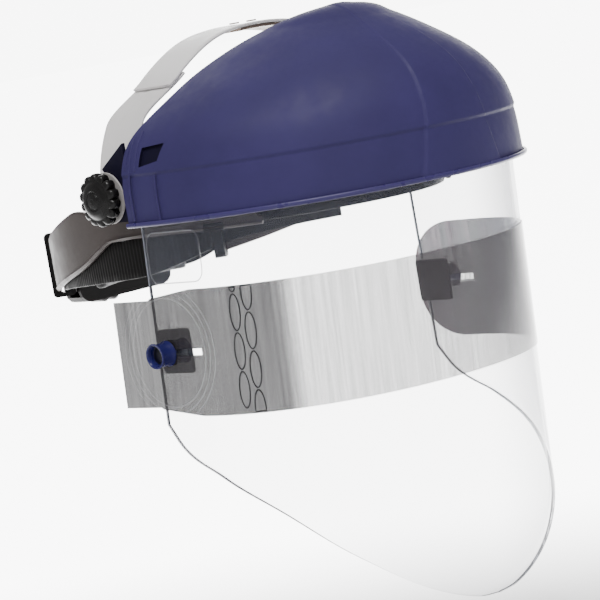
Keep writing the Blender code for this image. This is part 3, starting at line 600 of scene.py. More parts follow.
def film_finish(name):
    """Tinted film: grey and streaked near the pull tab, pale further on, and dark with soft
    bands of colour at its rounded far end.  The stored values are the length along the film
    and the height, both in millimetres."""
    made = Finish(name, (0.5, 0.5, 0.52), 0.08)
    along, high = made.attribute("along"), made.attribute("high")
    place = made.add("ShaderNodeCombineXYZ")
    made.wire(along, place.inputs[0])
    made.wire(made.math('MULTIPLY', high, 0.02), place.inputs[1])
    streak = made.add("ShaderNodeTexNoise", Scale=0.55, Detail=4.0)
    made.wire(place.outputs[0], streak.inputs["Vector"])
    broad = made.add("ShaderNodeTexNoise", Scale=0.09, Detail=2.0)
    made.wire(place.outputs[0], broad.inputs["Vector"])
    near = made.spread(along, 1.0, 0.0, *NEAR_FADE)
    far = made.spread(along, 0.0, 1.0, FAR_START, FAR_START + FAR_BLEND)
    grey = made.ramp(streak.outputs["Fac"], [
        (0.3, (0.035, 0.032, 0.036)), (0.7, (0.06, 0.055, 0.062))])
    pale = made.ramp(broad.outputs["Fac"], [
        (0.3, (0.06, 0.05, 0.058)), (0.7, (0.07, 0.062, 0.07))])
    bands = made.ramp(broad.outputs["Fac"], [
        (0.30, (0.05, 0.085, 0.05)), (0.42, (0.075, 0.06, 0.055)), (0.50, (0.19, 0.04, 0.10)),
        (0.58, (0.05, 0.08, 0.055)), (0.70, (0.14, 0.045, 0.08))])
    shade = made.mix(near, pale, grey)
    shade = made.mix(far, shade, bands)
    across, up = made.math('SUBTRACT', along, BUTTON_ALONG), made.math('SUBTRACT', high, BUTTON_Z)
    away = made.math('SQRT', made.math('ADD', made.math('MULTIPLY', across, across),
                                       made.math('MULTIPLY', up, up)))
    # faint rings round the near button
    rings = made.math('SINE', made.math('MULTIPLY', away, 1.9))
    ring_share = made.math('MULTIPLY', made.spread(rings, 0.0, 0.6, 0.5, 1.0),
                           made.spread(away, 0.0, 1.0, 24.0, 27.0))
    ring_share = made.math('MULTIPLY', ring_share, made.spread(away, 1.0, 0.0, 34.0, 36.0))
    shade = made.mix(ring_share, shade, (0.20, 0.20, 0.21))
    made.colour(shade)
    cover = made.math('ADD', made.math('MULTIPLY', near, 0.32), made.math('MULTIPLY', far, 0.27))
    cover = made.math('ADD', cover, made.spread(streak.outputs["Fac"], 0.44, 0.54, 0.3, 0.7))
    made.wire(cover, made.shader.inputs["Alpha"])
    return made.made


FINISHES = {}


def make_finishes(look):
    """Every material, from the user's colours."""
    blue, black, taupe = tuple(look.crown_colour), tuple(look.black_colour), tuple(look.arm_colour)
    pale = tuple(look.strap_colour)
    FINISHES.update({
        "crown": moulded("crown_plastic", blue, 0.55, 1100.0, 0.00006, 0.08, 0.02, 0.18),
        # the lip's blue is made lighter than the crown's: a painted highlight along the rim
        "crown_lip": moulded("crown_lip_painted_highlight", scaled(blue, 1.2), 0.3, 1100.0, 0.00002, 0.05),
        # the pocket's faces get a darkened copy of the crown's blue: painted shade in the recess;
        # the pivot brackets take the same dark blue
        "slot": moulded("pocket_shade_dark_blue", scaled(blue, 0.18), 0.6, gloss=0.1),
        "black": moulded("black_nylon", black, 0.45, 900.0, 0.00005, 0.25, 0.05, 0.12),
        "ribbed": moulded("ribbed_nylon", black, 0.5, 900.0, 0.00005, 0.3, 0.04, 0.10),
        "knob": moulded("knob_plastic", black, 0.28, 700.0, 0.00004, 0.25, 0.12),
        "taupe": moulded("arm_plastic", taupe, 0.42, 1000.0, 0.00004, 0.08, 0.06, 0.2),
        "pale": moulded("strap_plastic", pale, 0.4, 1200.0, 0.00003, 0.04, 0.0),
        "tail": moulded("strap_tail_plastic", (0.25, 0.19, 0.15), 0.45, 1000.0, 0.00003, 0.08),
        "button": moulded("button_plastic", (0.016, 0.016, 0.10), 0.25, 900.0, 0.00003, 0.15),
        # a near-black disc on the floor of each button's dish: painted shade in the recess
        "dish": moulded("dish_painted_shade", (0.006, 0.006, 0.016), 0.35, 900.0, 0.00004, 0.2),
        "washer": moulded("washer_plastic", (0.42, 0.40, 0.39), 0.4, 900.0, 0.00003, 0.1, 0.05),
        "steel": brushed("spring_steel", (0.55, 0.55, 0.56), 0.3),
        "foam": foam("foam_pad", (0.02, 0.02, 0.02)),
        "window": clear_sheet("clear_window", (0.34, 0.36, 0.44), 0.10, 0.6, 0.5),
        # the window's cut edges are painted near black: painted shade for the dark line that the
        # clear edge shows
        "window_edge_shade": moulded("window_edge_shade", (0.03, 0.03, 0.035), 0.2, 700.0, 0.00002, 0.3),
        "emboss": clear_sheet("window_emboss", (0.30, 0.30, 0.33), 0.45, 0.8),
        "film": film_finish("tinted_film"),
        "ink": moulded("film_ink", (0.02, 0.02, 0.022), 0.5, 900.0, 0.00001, 0.2),
        "floor": moulded("studio_floor", (0.80, 0.80, 0.80), 0.9, 20.0, 0.00001, 0.005, gloss=0.0),
    })


def keep(made, body, slot, *nodes):
    """Hang a finished piece on its body, in place of the nodes that it stands for."""
    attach(made, body)
    if nodes:
        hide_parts(*nodes)
    return made


def dress(node, finish):
    """Give a working part that keeps its shape its finish."""
    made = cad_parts[node]
    made.data.materials.clear()
    made.data.materials.append(FINISHES[finish])
    shade(made.data)


# ---------------------------------------------------------------- crown

def make_crown():
    """The shell: half ellipses stacked by height, a step at the crease, and a raised panel.

    The columns crowd towards the front, where the panel's edges are.
    """
    u = np.linspace(-1, 1, 281)
    turn = np.pi / 2 + np.pi / 2 * (0.45 * u + 0.55 * u ** 3)
    low = np.concatenate([np.linspace(RIM_Z, 7.0, 14), np.linspace(8.0, 12.0, 11)])
    lift = np.sin(np.linspace(0.045, 1.0, 56) * np.pi / 2)
    z = np.concatenate([low, CREASE_Z + (CROWN_Z[-1] - CREASE_Z) * lift])
    z = z[:, None]
    x, forward = crown_point(turn[None, :], z)
    step = STEP_OUT * ease(z, *STEP_RISE)
    half = through(z, PANEL_Z, PANEL_HALF)
    panel = PANEL_PROUD * ease(half - np.abs(x), -PANEL_EDGE, PANEL_EDGE)
    panel = panel * ease(forward, *PANEL_START)
    x, forward = crown_point(turn[None, :], z, step + panel)
    points = at(x, forward, z + 0 * x)
    made = sheet_piece("crown_skin", points, FINISHES["crown"], CROWN_WALL)
    # the pocket's faces keep the cutters' darkened blue, which is painted shade
    carve(made, [pocket_cutter(name, side) for name, side in SIDES.items()])
    return keep(made, "visor", "crown_blue", "crown_shell")


def pocket_cutter(name, side):
    """A block whose inner face follows the shell, with faces of painted shade for the pocket."""
    forward, z = np.array(POCKET).T
    front, rear, half = (through(z, CROWN_Z, row) for row in (CROWN_FRONT, CROWN_REAR, CROWN_HALF))
    wide = half * np.sqrt(1.0 - ((forward - rear) / (front - rear)) ** 2)
    sections = np.stack([at(side * (wide + STEP_OUT - POCKET_DEPTH), forward, z),
                         at(side * POCKET_REACH, forward, z)])
    return swept("pocket_" + name, sections, FINISHES["slot"])


def crown_line(name, turns, heights, proud, wide, finish):
    """A thin raised line on the crown: a half-round section carried along the surface."""
    x, forward = crown_point(turns, heights, LINE_SEAT)
    path = at(x, forward, heights)
    way = unit(np.gradient(path, axis=0))
    out = path - at(0.0, 60.0, 10.0)
    out = unit(out - (out * way).sum(1)[:, None] * way)
    across = np.cross(way, out)
    arc = np.linspace(0, 2 * np.pi, 12, endpoint=False)
    section = (across[:, None] * (np.cos(arc) * wide)[:, None]
               + out[:, None] * (np.sin(arc) * proud)[:, None]) * MM
    return swept(name, path[:, None] + section, finish, 60.0)


def make_crown_trim(look):
    """The rolled lip round the rim, a lighter copy of the crown's blue as a painted highlight, and
    ribs beside the rear edge and on the skirt.
    """
    turn = np.linspace(0.0, np.pi, 161)
    # the lip takes the lighter finish, a painted highlight along the rim
    lip = crown_line("crown_lip", turn, np.full(161, RIM_Z + 0.3), 1.0, look.lip_width / MM,
                     FINISHES["crown_lip"])
    keep(lip, "visor", "crown_blue")
    for name, side in SIDES.items():
        lines = []
        for spot, (where, first, last) in enumerate(CROWN_RIBS):
            z = np.linspace(first, last, 24)
            front = through(z, CROWN_Z, CROWN_FRONT)
            rear = through(z, CROWN_Z, CROWN_REAR)
            share = np.clip((where - rear) / (front - rear), 0.02, 1.0)
            angle = np.arcsin(share)
            angle = angle if side < 0 else np.pi - angle
            lines.append(crown_line("rib_%d" % spot, angle, z, 0.55, 0.5, None))
        ribs = joined("crown_ribs_" + name, lines, FINISHES["crown"])
        keep(ribs, "visor", "crown_blue")


# ---------------------------------------------------------------- window

def make_window():
    """The sheet: cut back at its top corners, and cut below to a long rounded point; its cut edges
    are painted near black as shade.
    """
    share = np.linspace(0.0, 1.0, 101)
    bottom = through(share * BOTTOM_ALONG[-1], BOTTOM_ALONG, BOTTOM_Z)
    step = NOTCH_Z - 1.0
    z = [np.full(101, WINDOW_TOP), np.full(101, NOTCH_Z)]
    rear = [WINDOW_NOTCH, WINDOW_NOTCH]
    for drop in np.linspace(0.0, 1.0, 40):
        z.append(step + (bottom - step) * drop)
        rear.append(WINDOW_REAR)
    z = np.array(z)
    x, forward = window_share(share[None, :], z, 0.0, np.array(rear)[:, None])
    x = np.concatenate([-x, x[:, -2::-1]], 1)
    forward = np.concatenate([forward, forward[:, -2::-1]], 1)
    z = np.concatenate([z, z[:, -2::-1]], 1)
    # the second material, on the cut edges, is the painted shade of the edge
    made = sheet_piece("window_sheet", at(x, forward, z)[::-1],
                       [FINISHES["window"], FINISHES["window_edge_shade"]], WINDOW_WALL, rim=1)
    length = np.concatenate([share, 2.0 - share[-2::-1]]) * BOTTOM_ALONG[-1]
    store(made, "round", np.broadcast_to(length, z.shape)[::-1])
    return keep(made, "visor", "clear_polycarbonate", "face_window")


def surface_line(name, along, z, out, side, wide, proud, finish):
    """A thin closed line laid on the window: a flat oval section along a path."""
    x, forward = window_at(along, z, out, side)
    path = at(x, forward, z)
    way = unit(np.roll(path, -1, 0) - np.roll(path, 1, 0))
    ahead_x, ahead_f = window_at(np.asarray(along) + 1.0, z, out, side)
    tangent = at(ahead_x, ahead_f, z) - path
    outward = unit(np.cross(tangent, (0.0, 0.0, 1.0)) * -side)
    across = np.cross(way, outward)
    arc = np.linspace(0, 2 * np.pi, 8, endpoint=False)
    section = (across[:, None] * (np.cos(arc) * wide)[:, None]
               + outward[:, None] * (np.sin(arc) * proud)[:, None]) * MM
    points = path[:, None] + section
    faces = quads(len(path), 8, round_rows=True, round_columns=True).tolist()
    return settle(piece_from(name, points, faces, finish), 60.0)


def rounded_rectangle(low_a, high_a, low_b, high_b, radius, count=8):
    """Outline of a rectangle with round corners, as two arrays."""
    arc = np.linspace(0, np.pi / 2, count)
    a, b = [], []
    for centre_a, centre_b, first in ((high_a - radius, high_b - radius, 0),
                                      (low_a + radius, high_b - radius, 1),
                                      (low_a + radius, low_b + radius, 2),
                                      (high_a - radius, low_b + radius, 3)):
        turn = arc + first * np.pi / 2
        a.append(centre_a + radius * np.cos(turn))
        b.append(centre_b + radius * np.sin(turn))
    return np.concatenate(a), np.concatenate(b)


def make_emboss():
    """A blank raised frame near the window's upper rear corner."""
    along, z = rounded_rectangle(2.5, 41.5, -46.0, -20.5, 6.0)
    made = surface_line("window_emboss", along, z, 0.05, -1, 0.35, 0.22, FINISHES["emboss"])
    keep(made, "visor", "clear_polycarbonate")


# ---------------------------------------------------------------- film

def film_run():
    """Stations along the film: side, length from that side's rear edge, and run along it."""
    total = window_lines(np.array([FILM_MID_Z]), 0.0, WINDOW_REAR)[2][0, -1]
    near = np.concatenate([np.linspace(-FILM_TAB, 0.0, 16)[:-1], np.linspace(0.0, total, 120)])
    far = np.concatenate([np.linspace(total, 0.0, 110)[1:-1], -FILM_FAR * np.linspace(0, 1, 9)])
    side = np.concatenate([np.full(len(near), -1.0), np.full(len(far), 1.0)])
    length = np.concatenate([near, far])
    run = np.concatenate([near, 2 * total - far])
    return side, length, run


def film_half_height(side, length):
    """Half height of the film: narrower at the tab and round at the far end."""
    near = np.where(length < 0, 27.0, 28.0 + 3.5 * np.clip(length / 30.0, 0, 1))
    left = np.clip(length + FILM_FAR, 0.0, FILM_FAR_RADIUS)
    reach = np.sqrt(FILM_FAR_RADIUS ** 2 - (FILM_FAR_RADIUS - left) ** 2) / FILM_FAR_RADIUS
    return np.where(side < 0, near, FILM_HALF * (0.22 + 0.78 * reach))


def make_film():
    """The strip, with a long slot behind each button."""
    side, length, run = film_run()
    half = film_half_height(side, length)
    level = np.linspace(-1, 1, 25)[:, None]
    z = FILM_MID_Z + level * half
    x, forward = window_at(length[None, :] + 0 * z, z, FILM_OUT)
    points = at(-x * side, forward, z)
    made = sheet_piece("film_strip", points, FINISHES["film"], FILM_WALL, side=1.0)
    store(made, "along", np.broadcast_to(run, z.shape))
    store(made, "high", z)
    cutters = []
    for name, way in SIDES.items():
        hole = [(SLOT_START, BUTTON_Z - SLOT_HALF), (SLOT_END, BUTTON_Z - SLOT_HALF),
                (SLOT_END, BUTTON_Z + SLOT_HALF), (SLOT_START, BUTTON_Z + SLOT_HALF)]
        cutters.append(prism("slot_" + name, hole, *(way * reach for reach in SLOT_REACH)))
    carve(made, cutters)
    return keep(made, "visor", "tinted_film", "film_band")


def make_film_marks():
    """Two staggered columns of plain upright ovals; one cut off by an edge is closed there."""
    turn = np.linspace(0, 2 * np.pi, 36, endpoint=False)
    marks = []
    for start, shift in OVAL_COLUMNS:
        for row in range(OVAL_ROWS):
            along = start + OVAL_WIDE * np.cos(turn)
            z = OVAL_TOP - shift - OVAL_PITCH * row + OVAL_TALL * np.sin(turn)
            inside = np.abs(z - FILM_MID_Z) < FILM_HALF - 0.4
            if inside.sum() < len(turn) // 4:
                continue
            marks.append(surface_line("oval", along[inside], z[inside],
                                      FILM_OUT + FILM_WALL + 0.1, -1, 0.42, 0.06, None))
    made = joined("film_ovals", marks, FINISHES["ink"])
    keep(made, "visor", "black_nylon")


def make_buttons():
    """Snap buttons: a cap with a flared rim and a deep dish, on a thin shank, and a near-black
    disc of painted shade on the dish's floor.
    """
    for name, side in SIDES.items():
        low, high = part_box("film_button_" + name)
        inner, outer = reach_of("film_button_" + name)
        base = outer - BUTTON_TALL
        middle = (low + high) / 2
        centre = (side * base * MM, middle.y, middle.z)
        profile = [(0.0, 0.0), (6.2, 0.0), (6.5, 0.3), (6.5, 1.0), (6.1, 1.6), (5.9, 3.0),
                   (5.9, 6.4), (6.1, 7.4), (6.4, 8.2), (6.5, 8.7), (6.2, 9.0), (5.5, 8.9),
                   (5.1, 8.3), (4.9, 5.4), (4.2, 5.0), (0.0, 4.9)]
        cap = lathe("cap", profile, centre, (side, 0, 0), None, 48)
        end = inner - base
        shank = lathe("shank", [(0.0, end), (1.2, end), (1.3, end + 0.2), (1.3, 0.2), (0.0, 0.2)],
                      centre, (side, 0, 0), None, 20)
        made = joined("snap_button_" + name, [cap, shank], FINISHES["button"])
        keep(made, "film_button_" + name, "button_blue", "film_button_" + name)
        # painted shade: a thin near-black disc laid on the floor of the dish
        dish = lathe("button_dish_" + name, [(0.0, 5.0), (4.75, 5.05), (4.75, 5.3), (3.1, 5.35),
                                             (2.9, 5.7), (0.0, 5.8)], centre, (side, 0, 0),
                     FINISHES["dish"], 40)
        keep(dish, "film_button_" + name, "button_blue")


def make_pads():
    """Square pads with softened corners and a shallow rim."""
    for name, side in SIDES.items():
        low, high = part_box("film_pad_" + name)
        forward = -(low.y + high.y) / 2 / MM
        half = (high.y - low.y) / 2 / MM
        z = (low.z + high.z) / 2 / MM
        inner, outer = reach_of("film_pad_" + name)
        rows = []
        for reach, shrink in ((inner, 0.5), (inner + 0.3, 0.0), (outer - 0.3, 0.0), (outer, 0.5),
                              (outer, 1.6), (outer - 0.3, 2.0), (outer - 0.3, 9.6)):
            a, b = rounded_rectangle(forward - half + shrink, forward + half - shrink,
                                     z - half + shrink, z + half - shrink, 1.5, 5)
            rows.append(at(side * reach, a, b))
        made = swept("square_pad_" + name, np.array(rows), FINISHES["black"])
        keep(made, "visor", "black_nylon", "film_pad_" + name)


# ---------------------------------------------------------------- hubs

def make_tilt_knobs(look):
    """Scalloped knobs with a stepped, domed cap."""
    radius = 13.4
    for name, side in SIDES.items():
        inner = reach_of("tilt_knob_" + name)[0]
        profile = [(4.4, 0.0), (9.8, 0.0), (10.6, 0.6, 0.3), (11.9, 1.2, 1), (13.1, 1.9, 1),
                   (radius, 2.8, 1), (radius, 5.4, 1), (13.0, 6.4, 1), (12.1, 7.0, 1),
                   (10.9, 7.2, 0.5), (9.9, 7.1), (9.4, 7.3), (8.9, 7.9), (7.8, 8.5), (6.2, 8.9),
                   (5.2, 8.95), (4.8, 8.55), (4.2, 8.55), (3.8, 9.0), (2.4, 9.3), (1.3, 9.35),
                   (1.0, 9.0), (0.0, 9.0), (0.0, 5.2), (4.4, 5.2), (4.4, 0.0)]
        made = lathe("scallop_knob_" + name, profile, (side * inner * MM, 0, 0), (side, 0, 0),
                     FINISHES["knob"], 14 * 12, 14, look.grip_depth / MM)
        keep(made, "tilt_knob_" + name, "black_nylon", "tilt_knob_" + name)


def make_washers():
    """Moulded washers with a stepped edge, behind each knob."""
    for name, side in SIDES.items():
        inner, outer = reach_of("friction_washer_" + name)
        wall = outer - inner
        profile = [(4.3, 0.0), (11.6, 0.0), (12.0, 0.3), (12.0, wall - 0.3), (11.6, wall),
                   (9.6, wall), (9.3, wall - 0.3), (8.7, wall - 0.3), (8.4, wall), (4.3, wall),
                   (4.3, 0.0)]
        made = lathe("tilt_washer_" + name, profile, (side * inner * MM, 0, 0), (side, 0, 0),
                     FINISHES["taupe"], 72)
        keep(made, "headband", "taupe_plastic", "friction_washer_" + name)
        inner, outer = reach_of("spring_washer_" + name)
        wall = outer - inner
        profile = [(4.3, 0.0), (12.6, 0.0), (13.0, 0.25), (12.8, wall), (4.3, wall), (4.3, 0.0)]
        made = lathe("pressure_washer_" + name, profile, (side * inner * MM, 0, 0), (side, 0, 0),
                     FINISHES["washer"], 72)
        keep(made, "headband", "spring_steel", "spring_washer_" + name)


# ---------------------------------------------------------------- headband

def arm_top(turn, forward):
    """Height of an arm's top edge above the band's middle: slim, a hub, then a broad wing."""
    boss = 22.0 * np.exp(-(forward / 16.0) ** 2)
    slim = -3.0 + 17.0 * ease(np.degrees(turn), 84, 108)
    return np.maximum(slim, boss)


def arm_relief(forward, z):
    """A bead along the lower edge, and a long shallow groove beside the front."""
    low = through(forward, ARM_LOW_AT, ARM_LOW_Z)
    bead = 0.55 * np.exp(-((z - low - 1.1) / 0.8) ** 2)
    groove = -0.5 * np.exp(-((z - low - 7.0) / 0.7) ** 2) * ease(forward, 5.0, 12.0)
    return bead + groove * ease(-forward, -50.0, -44.0)


def make_arms():
    """Side arms with the hub's boss, following the ring."""
    for name, side in SIDES.items():
        turns = np.radians(np.linspace(47.0, 138.0, 150))
        forward = ring(turns, 7.8)[1]
        low = through(forward, ARM_LOW_AT, ARM_LOW_Z)
        high = band_middle(forward) + arm_top(turns, forward)
        tip = ease(np.degrees(turns), 47.0, 53.0)
        high = low + (high - low) * (0.25 + 0.75 * tip)
        arm = ring_strip("arm", turns, 5.2, 7.8, low, high, None, side, 0.8, arm_relief, 44)
        profile = [(4.3, 94.0), (6.6, 94.0), (10.2, 90.2), (11.0, 90.2), (11.0, 102.6),
                   (10.4, 103.5), (7.0, 103.5), (6.6, 103.1), (6.0, 103.1), (5.6, 103.5),
                   (4.3, 103.5), (4.3, 94.0)]
        boss = lathe("boss", profile, (0, 0, 0), (side, 0, 0), None, 56)
        made = joined("arm_" + name, [arm, boss], FINISHES["taupe"])
        keep(made, "headband", "taupe_plastic", "side_arm_" + name)


def make_arm_notches():
    """A short black strip low on each arm, ahead of the strap's end: painted shade where a slot
    opens.
    """
    for name, side in SIDES.items():
        turns = np.radians(np.linspace(57.3, 62.6, 12))
        level = np.ones(12)
        # painted shade: a black strip, a little proud of the arm, in place of the slot's opening
        made = ring_strip("arm_slot_shade_" + name, turns, 7.5, 8.15, -24.0 * level, -20.2 * level,
                          FINISHES["black"], side, 0.12)
        keep(made, "headband", "black_nylon")


def make_rear_straps(look):
    """Flexible straps with fine upright ribs, bending between the arms and the racks.

    Each follows the ring from its first turn, then runs straight into the housing.
    """
    for name, side in SIDES.items():
        first, raised = (62.0, 0.0) if side < 0 else (100.0, 5.0)
        turns = np.radians(np.linspace(first, 162.0, 420))
        x, forward = ring(turns, 3.9)
        lift = np.append(raised * (1 - ease(np.degrees(turns), *STRAP_RISE_END)), 0.0)
        into = ease(-x, -56.0, -31.0) * (forward < RING_FORWARD)
        forward = forward + (NAPE_FORWARD - forward) * into
        x, forward = np.append(x, 18.0), np.append(forward, NAPE_FORWARD)
        set_down = ease(-x, -60.0, -33.0) * (forward < RING_FORWARD)
        middle = through(forward, STRAP_LOW_AT, STRAP_LOW_Z) + 10.0 + lift
        middle = middle * (1 - set_down) + REAR_Z * set_down
        path = np.stack([x, forward], -1)
        way = unit(np.gradient(path, axis=0))
        out = np.stack([-way[:, 1], way[:, 0]], -1)
        if out[10, 0] < 0:
            out = -out
        length = np.concatenate([[0.0], np.cumsum(np.hypot(*np.diff(path, axis=0).T))])
        wave = np.abs(np.sin(np.pi * length * MM / look.rib_pitch)) ** 3
        rib = look.rib_height / MM * wave * (1 - set_down)
        loop_out, share, rest = strip_loop(-1.4, 0.0, 0.35, 6)
        flat = (np.arange(len(loop_out)) < 6)
        shift = loop_out[None, :] + rib[:, None] * flat
        z = middle[:, None] - 10.0 + share * 20.0 + rest
        px = x[:, None] + out[:, :1] * shift
        pf = forward[:, None] + out[:, 1:] * shift
        made = swept("flex_strap_" + name, at(side * px, pf, z), FINISHES["ribbed"])
        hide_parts("rear_strap_" + name)
        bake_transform(made)


def make_brow():
    """The brow band, with rolled edges and a shallow channel, and its end tongues."""
    turns = np.radians(np.linspace(-96.0, 96.0, 240))
    forward = ring(turns, 2.0)[1]
    middle = band_middle(forward)
    narrow = 5.0 * ease(np.abs(np.degrees(turns)), 60, 96)

    def channel(_, z):
        return 0.35 * np.exp(-((z + 21.5) / 1.0) ** 2) + 0.35 * np.exp(-((z - 5.5) / 1.0) ** 2)

    made = ring_strip("band_brow", turns, 0.0, 2.0, middle - 15.0 + narrow, middle + 15.0 - narrow,
                      FINISHES["black"], 1, 0.6, channel, 24)
    keep(made, "headband", "black_nylon", "brow_band")


def pad_mesh(name, turns, inner, outer, low, high, finish, side=1, bulge=0.8, channels=0):
    """A foam pad: a rounded strip, thinner at its ends, with shallow channels across it."""
    out, share, rest = strip_loop(inner, outer, 1.9, 8)
    end = np.minimum(ease(np.arange(len(turns)), 0, 6),
                     ease(len(turns) - 1 - np.arange(len(turns)), 0, 6))
    thin = (outer - out)[None, :] * (0.45 + 0.55 * end)[:, None]
    wave = 0.0
    if channels:
        phase = np.linspace(0, channels * np.pi, len(turns))
        wave = bulge * (np.abs(np.sin(phase)) ** 0.5)[:, None] * (out < (inner + outer) / 2)
    x, forward = ring(turns[:, None], outer - thin - wave)
    z = low[:, None] + share * (high - low)[:, None] + rest
    return swept(name, at(side * x, forward, z), finish, 50.0)


def swell(made, cap, voxel=0.005):
    """Puff a pad with a short cloth simulation, and let no point move further than cap."""
    remesh = made.modifiers.new("even", 'REMESH')
    remesh.mode = 'VOXEL'
    remesh.voxel_size = voxel
    bpy.context.view_layer.update()
    even = bpy.data.meshes.new_from_object(
        made.evaluated_get(bpy.context.evaluated_depsgraph_get()))
    made.modifiers.clear()
    made.data = even
    start = np.empty(len(even.vertices) * 3, np.float32)
    even.vertices.foreach_get("co", start)
    cloth = made.modifiers.new("puff", 'CLOTH')
    cloth.settings.use_pressure = True
    cloth.settings.uniform_pressure_force = 4.0
    cloth.settings.effector_weights.gravity = 0.0
    cloth.settings.quality = 5
    cloth.collision_settings.use_collision = False
    for step in range(1, 21):
        bpy.context.scene.frame_set(step)
    shown = made.evaluated_get(bpy.context.evaluated_depsgraph_get())
    end = np.empty_like(start)
    shown.data.vertices.foreach_get("co", end)
    made.modifiers.clear()
    bpy.context.scene.frame_set(1)
    move = (end - start).reshape(-1, 3)
    size = np.linalg.norm(move, axis=1)[:, None]
    move *= np.minimum(1.0, cap * MM / np.maximum(size, 1e-9))
    even.vertices.foreach_set("co", (start.reshape(-1, 3) + move).ravel())
    even.update()
    smooth = made.modifiers.new("smooth", 'SUBSURF')
    smooth.levels = smooth.render_levels = 1
    even.shade_smooth()
    return made


def make_foam():
    """Sweatband and nape pad."""
    turns = np.radians(np.linspace(-60.0, 60.0, 150))
    middle = band_middle(ring(turns, 0.0)[1])
    band = pad_mesh("sweat_pad", turns, -6.4, -0.4, middle - 14.3, middle + 13.2, FINISHES["foam"],
                    1, 0.5, 14)
    swell(band, 0.8, 0.0022)
    band.data.materials.clear()
    band.data.materials.append(FINISHES["foam"])
    keep(band, "headband", "black_foam", "sweatband")
    turns = np.radians(np.linspace(180 - 26, 180 + 26, 90))
    level = np.full(90, REAR_Z)
    out, share, rest = strip_loop(-16.0, -9.2, 2.2, 8)
    x, forward = ring(turns[:, None], np.broadcast_to(out, (90, len(out))))
    shift = np.maximum(-131.8 - ring(turns, -9.2)[1], 0.0)
    forward = forward + shift[:, None]
    phase = np.linspace(0, 7 * np.pi, 90)
    forward = forward + (0.7 * np.abs(np.sin(phase)) ** 0.5)[:, None] * (out < -12.0)
    z = level[:, None] - 9.7 + share * 19.4 + rest
    pad = swept("nape_cushion", at(-x, forward, z), FINISHES["foam"], 50.0)
    swell(pad, 0.8, 0.0022)
    pad.data.materials.clear()
    pad.data.materials.append(FINISHES["foam"])
    keep(pad, "headband", "black_foam", "nape_pad")


def make_crown_strap():
    """Four overlapping strips over the head, with folded edges and a stepped overlap."""
    power = 2 / STRAP_POWER
    # node, first and last turn, level, width, finish, foot's side, climb onto the strip below
    pieces = (
        ("crown_tab_right", 0.0, 0.92, 0.0, 29.0, "pale", -1, 0.0),
        ("crown_tab_left", math.pi, math.pi - 0.92, 0.0, 29.0, "pale", 1, 0.0),
        ("crown_strap_right", 0.79, 1.78, 1.8, 29.0, "pale", 0, 1.7),
        ("crown_strap_left", math.pi - 0.79, 1.46, 1.8, 26.0, "tail", 0, 0.0),
    )
    for node, first, last, level, wide, finish, foot, climb in pieces:
        turn = np.linspace(first, last, 60)
        out = level + climb * ease(turn, 0.95, 1.35)
        c, s = np.cos(turn), np.sin(turn)
        x = -(STRAP_HALF + out) * np.sign(c) * np.abs(c) ** power
        z = STRAP_BASE + (STRAP_TOP - STRAP_BASE + out) * s ** power
        if foot:
            drop = np.linspace(STRAP_BASE - 8.0, STRAP_BASE, 8)[:-1]
            x = np.concatenate([np.full(7, x[0]), x])
            z = np.concatenate([drop, z])
        middle = STRAP_LOW_FORWARD + STRAP_FORWARD_RUN * ease(z, 34.0, 54.0)
        path = np.stack([x, z], -1)
        way = unit(np.gradient(path, axis=0))
        normal = np.stack([-way[:, 1], way[:, 0]], -1)
        if (normal[len(x) // 2] * path[len(x) // 2]).sum() < 0:
            normal = -normal
        loop_out, share, rest = strip_loop(-1.4, 0.0, 0.45, 15)
        edge = 0.35 * np.exp(-((share * wide - 1.4) / 0.9) ** 2)
        edge += 0.35 * np.exp(-(((1 - share) * wide - 1.4) / 0.9) ** 2)
        fold = -0.4 * np.exp(-((share * wide - wide * 0.36) / 0.8) ** 2) * (foot != 0)
        proud = (edge + fold) * (np.arange(len(loop_out)) < 15)
        across = middle[:, None] - wide / 2 + share * wide + rest
        shift = loop_out + proud
        px = x[:, None] + normal[:, :1] * shift
        pz = z[:, None] + normal[:, 1:] * shift
        name = node.replace("crown_", "head_")
        made = swept(name, at(px, across, pz), FINISHES[finish])
        keep(made, "headband", "pale_plastic" if finish == "pale" else "taupe_plastic", node)


def make_nape_knob():
    """The ratchet's knob, with grips round its edge and a hollow face."""
    low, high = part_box("ratchet_knob")
    tall = (high.y - low.y) / MM
    radius = 21.0
    profile = [(3.8, 0.0), (17.0, 0.0), (17.4, 1.2), (radius - 0.8, 1.6, 1), (radius, 2.6, 1),
               (radius, tall - 3.4, 1), (radius - 0.7, tall - 1.8, 1),
               (radius - 2.4, tall - 0.7, 0.7), (radius - 4.6, tall - 0.2, 0.2),
               (14.6, tall - 0.2), (13.8, tall - 1.6), (8.4, tall - 1.8), (7.4, tall - 0.5),
               (6.9, tall - 0.5), (6.5, tall - 0.9), (6.5, tall - 4.0), (2.3, tall - 4.0),
               (2.3, 9.0), (3.8, 8.2), (3.8, 0.0)]
    made = lathe("nape_knob", profile, (0, low.y, REAR_Z * MM), (0, 1, 0), FINISHES["knob"],
                 16 * 12, 16, 3.0)
    keep(made, "ratchet", "black_nylon", "ratchet_knob")


